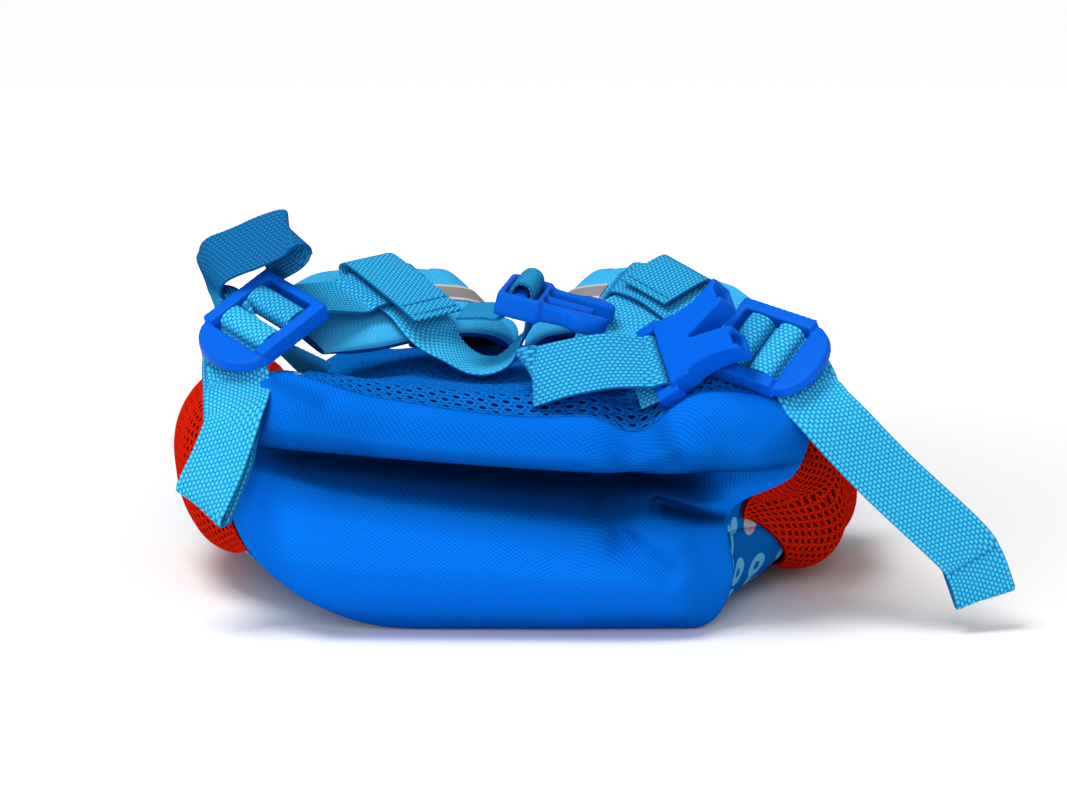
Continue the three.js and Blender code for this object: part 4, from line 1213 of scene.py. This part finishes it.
class BAG_OT_stage(bpy.types.Operator):
    """Plain pale floor, soft studio light and the camera"""

    bl_idname = "bag.stage"
    bl_label = "Stage"

    def execute(self, context):
        stage = context.scene.bag_stage
        context.scene.view_settings.view_transform = "Standard"
        target = Vector(ORIGIN) + Vector(stage.look_at)
        back = Vector((0, -math.cos(stage.elevation), math.sin(stage.elevation)))
        camera = bpy.data.cameras.new("camera")
        camera.lens = stage.lens
        context.scene.camera = self.add_aimed(camera, target, back * stage.distance)
        self.add_floor(stage)
        world = bpy.data.worlds.new("studio")
        context.scene.world = world
        world.use_nodes = True
        sky = world.node_tree.nodes["Background"]
        sky.inputs["Color"].default_value = (1.0, 1.0, 1.0, 1.0)
        sky.inputs["Strength"].default_value = stage.world_light
        self.add_light("key", target, stage.key_power)
        self.add_light("fill", target, stage.fill_power)
        return {"FINISHED"}

    def add_aimed(self, data, target, offset):
        """A camera or light at an offset from the target, turned towards it."""
        item = bpy.data.objects.new(data.name, data)
        item.location = target + offset
        item.rotation_euler = (-offset).to_track_quat("-Z", "Y").to_euler()
        bpy.context.scene.collection.objects.link(item)
        return item

    def add_light(self, name, target, power):
        offset, size = LIGHTS[name]
        light = bpy.data.lights.new(name, "AREA")
        light.energy = power
        light.size = size
        self.add_aimed(light, target, Vector(offset))

    def add_floor(self, stage):
        """A floor that glows away from the bag, so that it comes out white."""
        bm = bmesh.new()
        bmesh.ops.create_grid(bm, x_segments=1, y_segments=1, size=FLOOR["size"])
        mesh = bpy.data.meshes.new("floor")
        bm.to_mesh(mesh)
        bm.free()
        material, tree, shader = new_material("pale_floor", FLOOR["roughness"])
        shader.inputs["Base Color"].default_value = (*stage.floor, 1.0)
        shader.inputs["Emission Strength"].default_value = stage.floor_glow
        away = tree.nodes.new("ShaderNodeVectorMath")
        away.operation = "LENGTH"
        tree.links.new(own_place(tree), away.inputs[0])
        glow = tree.nodes.new("ShaderNodeMapRange")
        glow.inputs["From Min"].default_value = FLOOR["glow_from"]
        glow.inputs["From Max"].default_value = FLOOR["glow_to"]
        tree.links.new(away.outputs["Value"], glow.inputs["Value"])
        tree.links.new(glow.outputs["Result"], shader.inputs["Emission Color"])
        mesh.materials.append(material)
        floor = bpy.data.objects.new("floor", mesh)
        bpy.context.scene.collection.objects.link(floor)


class BAG_OT_body(bpy.types.Operator):
    """Front panel, gussets and top panel"""

    bl_idname = "bag.body"
    bl_label = "Body cloth"

    def execute(self, context):
        end = MOUTH_Y - SEAM_GAP
        printed = named_material("printed_cloth", printed_material)
        for node, (from_turn, to_turn, held, rests_on) in WALLS.items():
            wall = wall_surface(from_turn, to_turn, SEWN_START, end, SEWN_GAP)
            cloth_panel(node, wall, printed)
        base = named_material("base_cloth", cloth_material, colours().base)
        yoke = wall_surface(SEAM_TURNS["back_right"], SEAM_TURNS["back_left"], YOKE_SEAM_Y, end)
        cloth_panel("top_panel", yoke, base)
        return {"FINISHED"}


class BAG_OT_base(bpy.types.Operator):
    """Slack base panel with its rolls, folds and creases"""

    bl_idname = "bag.base"
    bl_label = "Base panel"

    def execute(self, context):
        base = named_material("base_cloth", cloth_material, colours().base)
        piece = cloth_panel("base_panel", base_surface, base)
        points = np.array([vert.co for vert in piece.data.vertices])
        design = (points - ORIGIN) / MM
        set_fold_shade(piece, base_shade(design[:, 0], design[:, 2]))
        return {"FINISHED"}


class BAG_OT_back(bpy.types.Operator):
    """Padded back: foam under an air mesh with open holes"""

    bl_idname = "bag.back"
    bl_label = "Padded back"

    def execute(self, context):
        end = YOKE_SEAM_Y - SEAM_GAP
        outer = self.pad_surface(end, 0)
        length, width = surface_reach(outer)
        pitch = sizes().back_hole / MM
        bm = honeycomb(pitch, width, length, pitch * HOLE_SHARE["back"])
        place_vertices(bm, outer, width, length)
        blue = named_material("air_mesh", grained_material, "mesh", colours().mesh_back)
        mesh = finish_piece("back_air_mesh", bm, [blue])
        thicken(mesh, AIR_MESH_THICK * MM)
        bm = flat_grid(FACES["back_foam"], width, length)
        place_vertices(bm, self.pad_surface(end, AIR_MESH_LIFT), width, length)
        dark = named_material("back_foam", grained_material, "mesh", colours().foam)
        foam = finish_piece("back_foam_pad", bm, [dark], ["back_panel"])
        thicken(foam, sizes().back_pad - AIR_MESH_LIFT * MM)
        declare_sheet(outer, width, length)
        return {"FINISHED"}

    def pad_surface(self, end, sink):
        """The back's face, which rolls over near the base seam and rises below the left strap."""
        wall = wall_surface(SEAM_TURNS["back_right"], SEAM_TURNS["back_left"], SEWN_START, end, SEWN_GAP)
        height = BACK_RISE_HEIGHT

        def surface(u, v):
            y = u * end
            inside = np.sin(np.pi * v) ** BACK_EDGE_ROUND
            roll = hump(y, *BACK_ROLL) * inside
            rise = hump(y, *BACK_RISE) * inside
            rise = rise * (height["all"] + height["left"] * smooth_step(v, height["from"], height["to"]))
            points = wall(u, v)
            points[:, 2] += sizes().back_roll / MM * roll + rise - sink
            return points

        return surface


class BAG_OT_pockets(bpy.types.Operator):
    """Side pockets of open mesh"""

    bl_idname = "bag.pockets"
    bl_label = "Side pockets"

    def execute(self, context):
        shaded = darker(colours().pocket, POCKET_UNDER_SHADE)
        red = named_material("pocket_mesh", grained_material, "mesh", colours().pocket)
        dark = named_material("pocket_under", grained_material, "mesh", shaded)
        pitch = sizes().pocket_hole / MM
        for side in ("left", "right"):
            node = f"side_pocket_{side}"
            surface = pocket_surface(side)
            length, width = surface_reach(surface)
            bm = honeycomb(pitch, width, length, pitch * HOLE_SHARE["pocket"])
            place_vertices(bm, surface, width, length)
            piece = finish_piece(f"{node}_mesh", bm, [red], [node])
            thicken(piece, POCKET_MESH_THICK * MM)
            declare_sheet(surface, width, length)
            # A dark sheet just under the mesh: painted shade seen through its holes
            bm = flat_grid(FACES["pocket_under"], width, length)
            place_vertices(bm, pocket_surface(side, POCKET_UNDER), width, length)
            under = finish_piece(f"{node}_under", bm, [dark])
            declare_sheet(surface, width, length)
        return {"FINISHED"}


class BAG_OT_zip(bpy.types.Operator):
    """Zip tapes with their teeth, and the slider"""

    bl_idname = "bag.zip"
    bl_label = "Zip"

    def execute(self, context):
        reach = MOUTH_Y + ZIP_TAPE_WIDTH
        tape = named_material("zip_tape", cloth_material, colours().zip_tape)
        for name, turns in ZIP_TURNS.items():
            surface = wall_surface(*turns, MOUTH_Y, reach)
            node = f"zip_tape_{name}"
            cloth_panel(node, surface, tape)
            self.add_teeth(node, surface)
        moulded_copy("zip_slider")
        return {"FINISHED"}

    def add_teeth(self, node, surface):
        """A row of teeth along a tape's free edge."""
        places = np.linspace(ZIP_TEETH["from"], ZIP_TEETH["to"], ZIP_TEETH["count"])
        edge = surface(np.ones_like(places), places)
        inner = surface(np.full_like(places, ZIP_TEETH["root"]), places)
        along = unit(np.gradient(edge, axis=0))
        bm = bmesh.new()
        for point, way, reach in zip(edge, along, unit(edge - inner)):
            add_box(bm, PlasticFrame(point, reach, np.cross(way, reach)).matrix(), *TOOTH)
        teeth = named_material("zip_teeth", grained_material, "plastic", colours().zip_tape)
        finish_piece(f"{node}_teeth", bm, [teeth]).data.shade_flat()


class BAG_OT_straps(bpy.types.Operator):
    """Padded shoulder straps with their reflective strips"""

    bl_idname = "bag.straps"
    bl_label = "Shoulder straps"

    def execute(self, context):
        top = named_material("strap_cloth", cloth_material, colours().strap)
        under = named_material("strap_mesh", grained_material, "mesh", colours().strap_under)
        tape = named_material("reflective_tape", reflective_material)
        for side in ("left", "right"):
            strap = Strap(side)
            self.add_pad(side, strap, top, under)
            self.add_strip(side, strap, tape)
        return {"FINISHED"}

    def add_pad(self, side, strap, top, under):
        """A closed tube round the strap's padding, with cloth on its upper half and mesh below."""
        length = np.linalg.norm(np.diff(strap.centres, axis=0), axis=1).sum()
        around = 4 * STRAP_ROWS[2][6] + 2 * STRAP_PAD
        inner = 1 if side == "left" else -1

        def surface(u, v):
            angle = v * 2 * np.pi
            out = strap.half(u) * power_signed(np.cos(angle), STRAP_ROUND["across"])
            lift = pad_half(u) * power_signed(np.sin(angle), STRAP_ROUND["up"])
            inward = np.clip(out / strap.half(u) * inner, 0, 1)
            curl = STRAP_CURL[side] * inward ** 2 * (1 - smooth_step(u, STRAP_TIP_END, STRAP_CURL_END))
            tip = STRAP_TIP[side] * (1 - smooth_step(u, 0, STRAP_TIP_END))
            return strap.point(u, out, lift + curl) - tip[:, None] * strap.directions(u)[0]

        bm = flat_grid(FACES["strap_pad"], around, length)
        place_vertices(bm, surface, around, length)
        bmesh.ops.remove_doubles(bm, verts=bm.verts, dist=WELD)
        bmesh.ops.holes_fill(bm, edges=[edge for edge in bm.edges if edge.is_boundary])
        bmesh.ops.recalc_face_normals(bm, faces=bm.faces)
        layer = bm.loops.layers.uv.verify()
        for face in bm.faces:
            middle = sum(loop[layer].uv.y for loop in face.loops) / len(face.loops)
            face.material_index = 0 if middle < around / 2 * MM else 1
        node = f"strap_pad_{side}"
        piece = finish_piece(f"{node}_cloth", bm, [top, under], [node])

    def add_strip(self, side, strap, tape):
        """Reflective tape along the middle of a strap."""

        def surface(u, v):
            s = mix(REFLECTIVE["from"], REFLECTIVE["to"], u)
            return strap.point(s, (v - 0.5) * REFLECTIVE["width"], pad_half(s) + REFLECTIVE["gap"])

        length, width = surface_reach(surface)
        bm = flat_grid(FACES["reflective_strip"], width, length)
        place_vertices(bm, surface, width, length)
        node = f"reflective_strip_{side}"
        piece = finish_piece(f"{node}_tape", bm, [tape], [node])
        thicken(piece, TAPE_THICK * MM)
        declare_sheet(surface, width, length)


class BAG_OT_webbing(bpy.types.Operator):
    """Webbing of the straps, the adjusters and the chest strap, with its ribs"""

    bl_idname = "bag.webbing"
    bl_label = "Webbing"

    def execute(self, context):
        ribbed = named_material("ribbed_webbing", webbing_material)
        routes = {"strap": strap_webbing_rows, "adjuster": adjuster_rows, "chest": chest_rows}
        for side in ("left", "right"):
            for name, rows in routes.items():
                node = f"{name}_webbing_{side}"
                ribbon = Ribbon(rows(side))
                self.add_ribbon(node, ribbon, ribbed)
                self.add_seams(node, ribbon)
        return {"FINISHED"}

    def add_ribbon(self, node, ribbon, ribbed):
        """A ribbon with its ribs, each made of stitches."""
        width = sizes().webbing_width / MM
        ribs = sizes().webbing_ribs
        stitch = sizes().webbing_stitch / MM
        relief = sizes().webbing_relief / MM

        def surface(u, v):
            run = u * ribbon.length
            rib = np.floor(np.minimum(v, 0.9999) * ribs)
            across = np.sin(np.pi * np.mod(v * ribs, 1))
            along = np.sin(np.pi * np.mod(run / stitch + rib / 2, 1))
            crown = across ** RIB_ROUND * (RIB_LOW + (1 - RIB_LOW) * along ** RIB_ROUND)
            return ribbon.place(run, (v - 0.5) * width, relief * (crown - 0.5))

        faces = (int(ribbon.length / WEBBING_STEP), CELLS_PER_RIB * ribs)
        bm = flat_grid(faces, width, ribbon.length)
        place_vertices(bm, surface, width, ribbon.length)
        piece = finish_piece(f"{node}_ribs", bm, [ribbed], [node])
        if node in WEBBING_SHADES:
            from_z, to_z, strength = WEBBING_SHADES[node]
            heights = np.array([vert.co.z for vert in piece.data.vertices]) / MM
            set_fold_shade(piece, strength * smooth_step(heights, from_z, to_z))
        thicken(piece, WEBBING_CORE * MM, 0.0)

    def add_seams(self, node, ribbon):
        """Rows of stitches across a ribbon, on both its faces."""
        runs = [at if at > 0 else ribbon.length + at for name, at in WEBBING_SEAMS if name == node]
        if not runs:
            return
        half = sizes().webbing_width / MM / 2 - SEAM["margin"]
        starts = np.arange(-half, half - SEAM["room"], SEAM["pitch"])
        bm = bmesh.new()
        for run in runs:
            along = np.full_like(starts, run)
            for lift in (-SEAM["lift"], SEAM["lift"]):
                above = np.full_like(starts, lift)
                first = to_row(ribbon.place(along, starts, above))
                second = to_row(ribbon.place(along, starts + SEAM["stitch"], above))
                for start, end in zip(first, second):
                    add_stitch(bm, Vector(start), Vector(end))
        thread = named_material("thread", grained_material, "thread", colours().thread)
        finish_piece(f"{node}_stitches", bm, [thread])


class BAG_OT_plastics(bpy.types.Operator):
    """Ladder locks and the two halves of the chest buckle"""

    bl_idname = "bag.plastics"
    bl_label = "Locks and buckle"

    def execute(self, context):
        for side, place in LOCK_PLACES.items():
            matrix = PlasticFrame(*place).matrix()
            moulded_copy(f"ladder_lock_{side}", partial(self.add_lock_details, matrix))
        moulded_copy("buckle_male")
        moulded_piece("buckle_female", self.add_socket)
        return {"FINISHED"}

    def add_socket(self, bm):
        """The buckle's female half: a webbing bar, and two arms with open jaws and a slit between them."""
        place = PlasticFrame(*BUCKLE_PLACES["female"]).matrix()
        for low, high in SOCKET_BOXES:
            add_box(bm, place, low, high)
        for hand in (-1, 1):
            for bottom, top, outline in SOCKET_ARM:
                add_prism(bm, place, [(along, hand * across) for along, across in outline], bottom, top)

    def add_lock_details(self, place, bm):
        """Tall rails, a tall rear bar and a broad thumb tab, half an oval."""
        for low, high in LOCK_BOXES:
            add_box(bm, place, low, high)
        tab = LOCK_TAB
        root = Vector((tab["at"] * MM, 0, 0))
        shape = Matrix.Translation(root) @ Matrix.Diagonal((tab["reach"], 1.0, 1.0, 1.0))
        disc = bmesh.ops.create_cone(
            bm, cap_ends=True, segments=40, radius1=tab["radius"] * MM, radius2=tab["top_radius"] * MM,
            depth=tab["thick"] * MM, matrix=place @ shape)
        faces = {face for vert in disc["verts"] for face in vert.link_faces}
        edges = {edge for face in faces for edge in face.edges}
        bmesh.ops.bisect_plane(
            bm, geom=[*disc["verts"], *edges, *faces], plane_co=place @ root,
            plane_no=place.to_3x3() @ Vector((-1, 0, 0)), clear_outer=True)
        bmesh.ops.holes_fill(bm, edges=[edge for edge in bm.edges if edge.is_boundary])


class BAG_PT_panel(bpy.types.Panel):
    """Lists the bag's builders with its sizes and colours"""

    bl_label = "Mini Backpack"
    bl_idname = "BAG_PT_panel"
    bl_space_type = "VIEW_3D"
    bl_region_type = "UI"
    bl_category = "Backpack"

    def draw(self, context):
        for operator in OPERATORS:
            self.layout.operator(operator.bl_idname)
        for group in (context.scene.bag_sizes, context.scene.bag_colours, context.scene.bag_stage):
            for name in group.bl_rna.properties.keys():
                if name not in ("rna_type", "name"):
                    self.layout.prop(group, name)


OPERATORS = (
    BAG_OT_stage, BAG_OT_body, BAG_OT_base, BAG_OT_back, BAG_OT_pockets, BAG_OT_zip, BAG_OT_straps,
    BAG_OT_webbing, BAG_OT_plastics,
)
CLASSES = (BagSizes, BagColours, BagStage, *OPERATORS, BAG_PT_panel)


def register():
    for item in CLASSES:
        bpy.utils.register_class(item)
    bpy.types.Scene.bag_sizes = bpy.props.PointerProperty(type=BagSizes)
    bpy.types.Scene.bag_colours = bpy.props.PointerProperty(type=BagColours)
    bpy.types.Scene.bag_stage = bpy.props.PointerProperty(type=BagStage)


def unregister():
    del bpy.types.Scene.bag_sizes
    del bpy.types.Scene.bag_colours
    del bpy.types.Scene.bag_stage
    for item in reversed(CLASSES):
        bpy.utils.unregister_class(item)


def main():
    register()
    bpy.ops.bag.stage()
    bpy.ops.bag.body()
    bpy.ops.bag.base()
    bpy.ops.bag.back()
    bpy.ops.bag.pockets()
    bpy.ops.bag.zip()
    bpy.ops.bag.straps()
    bpy.ops.bag.webbing()
    bpy.ops.bag.plastics()


if __name__ == "__main__":
    main()
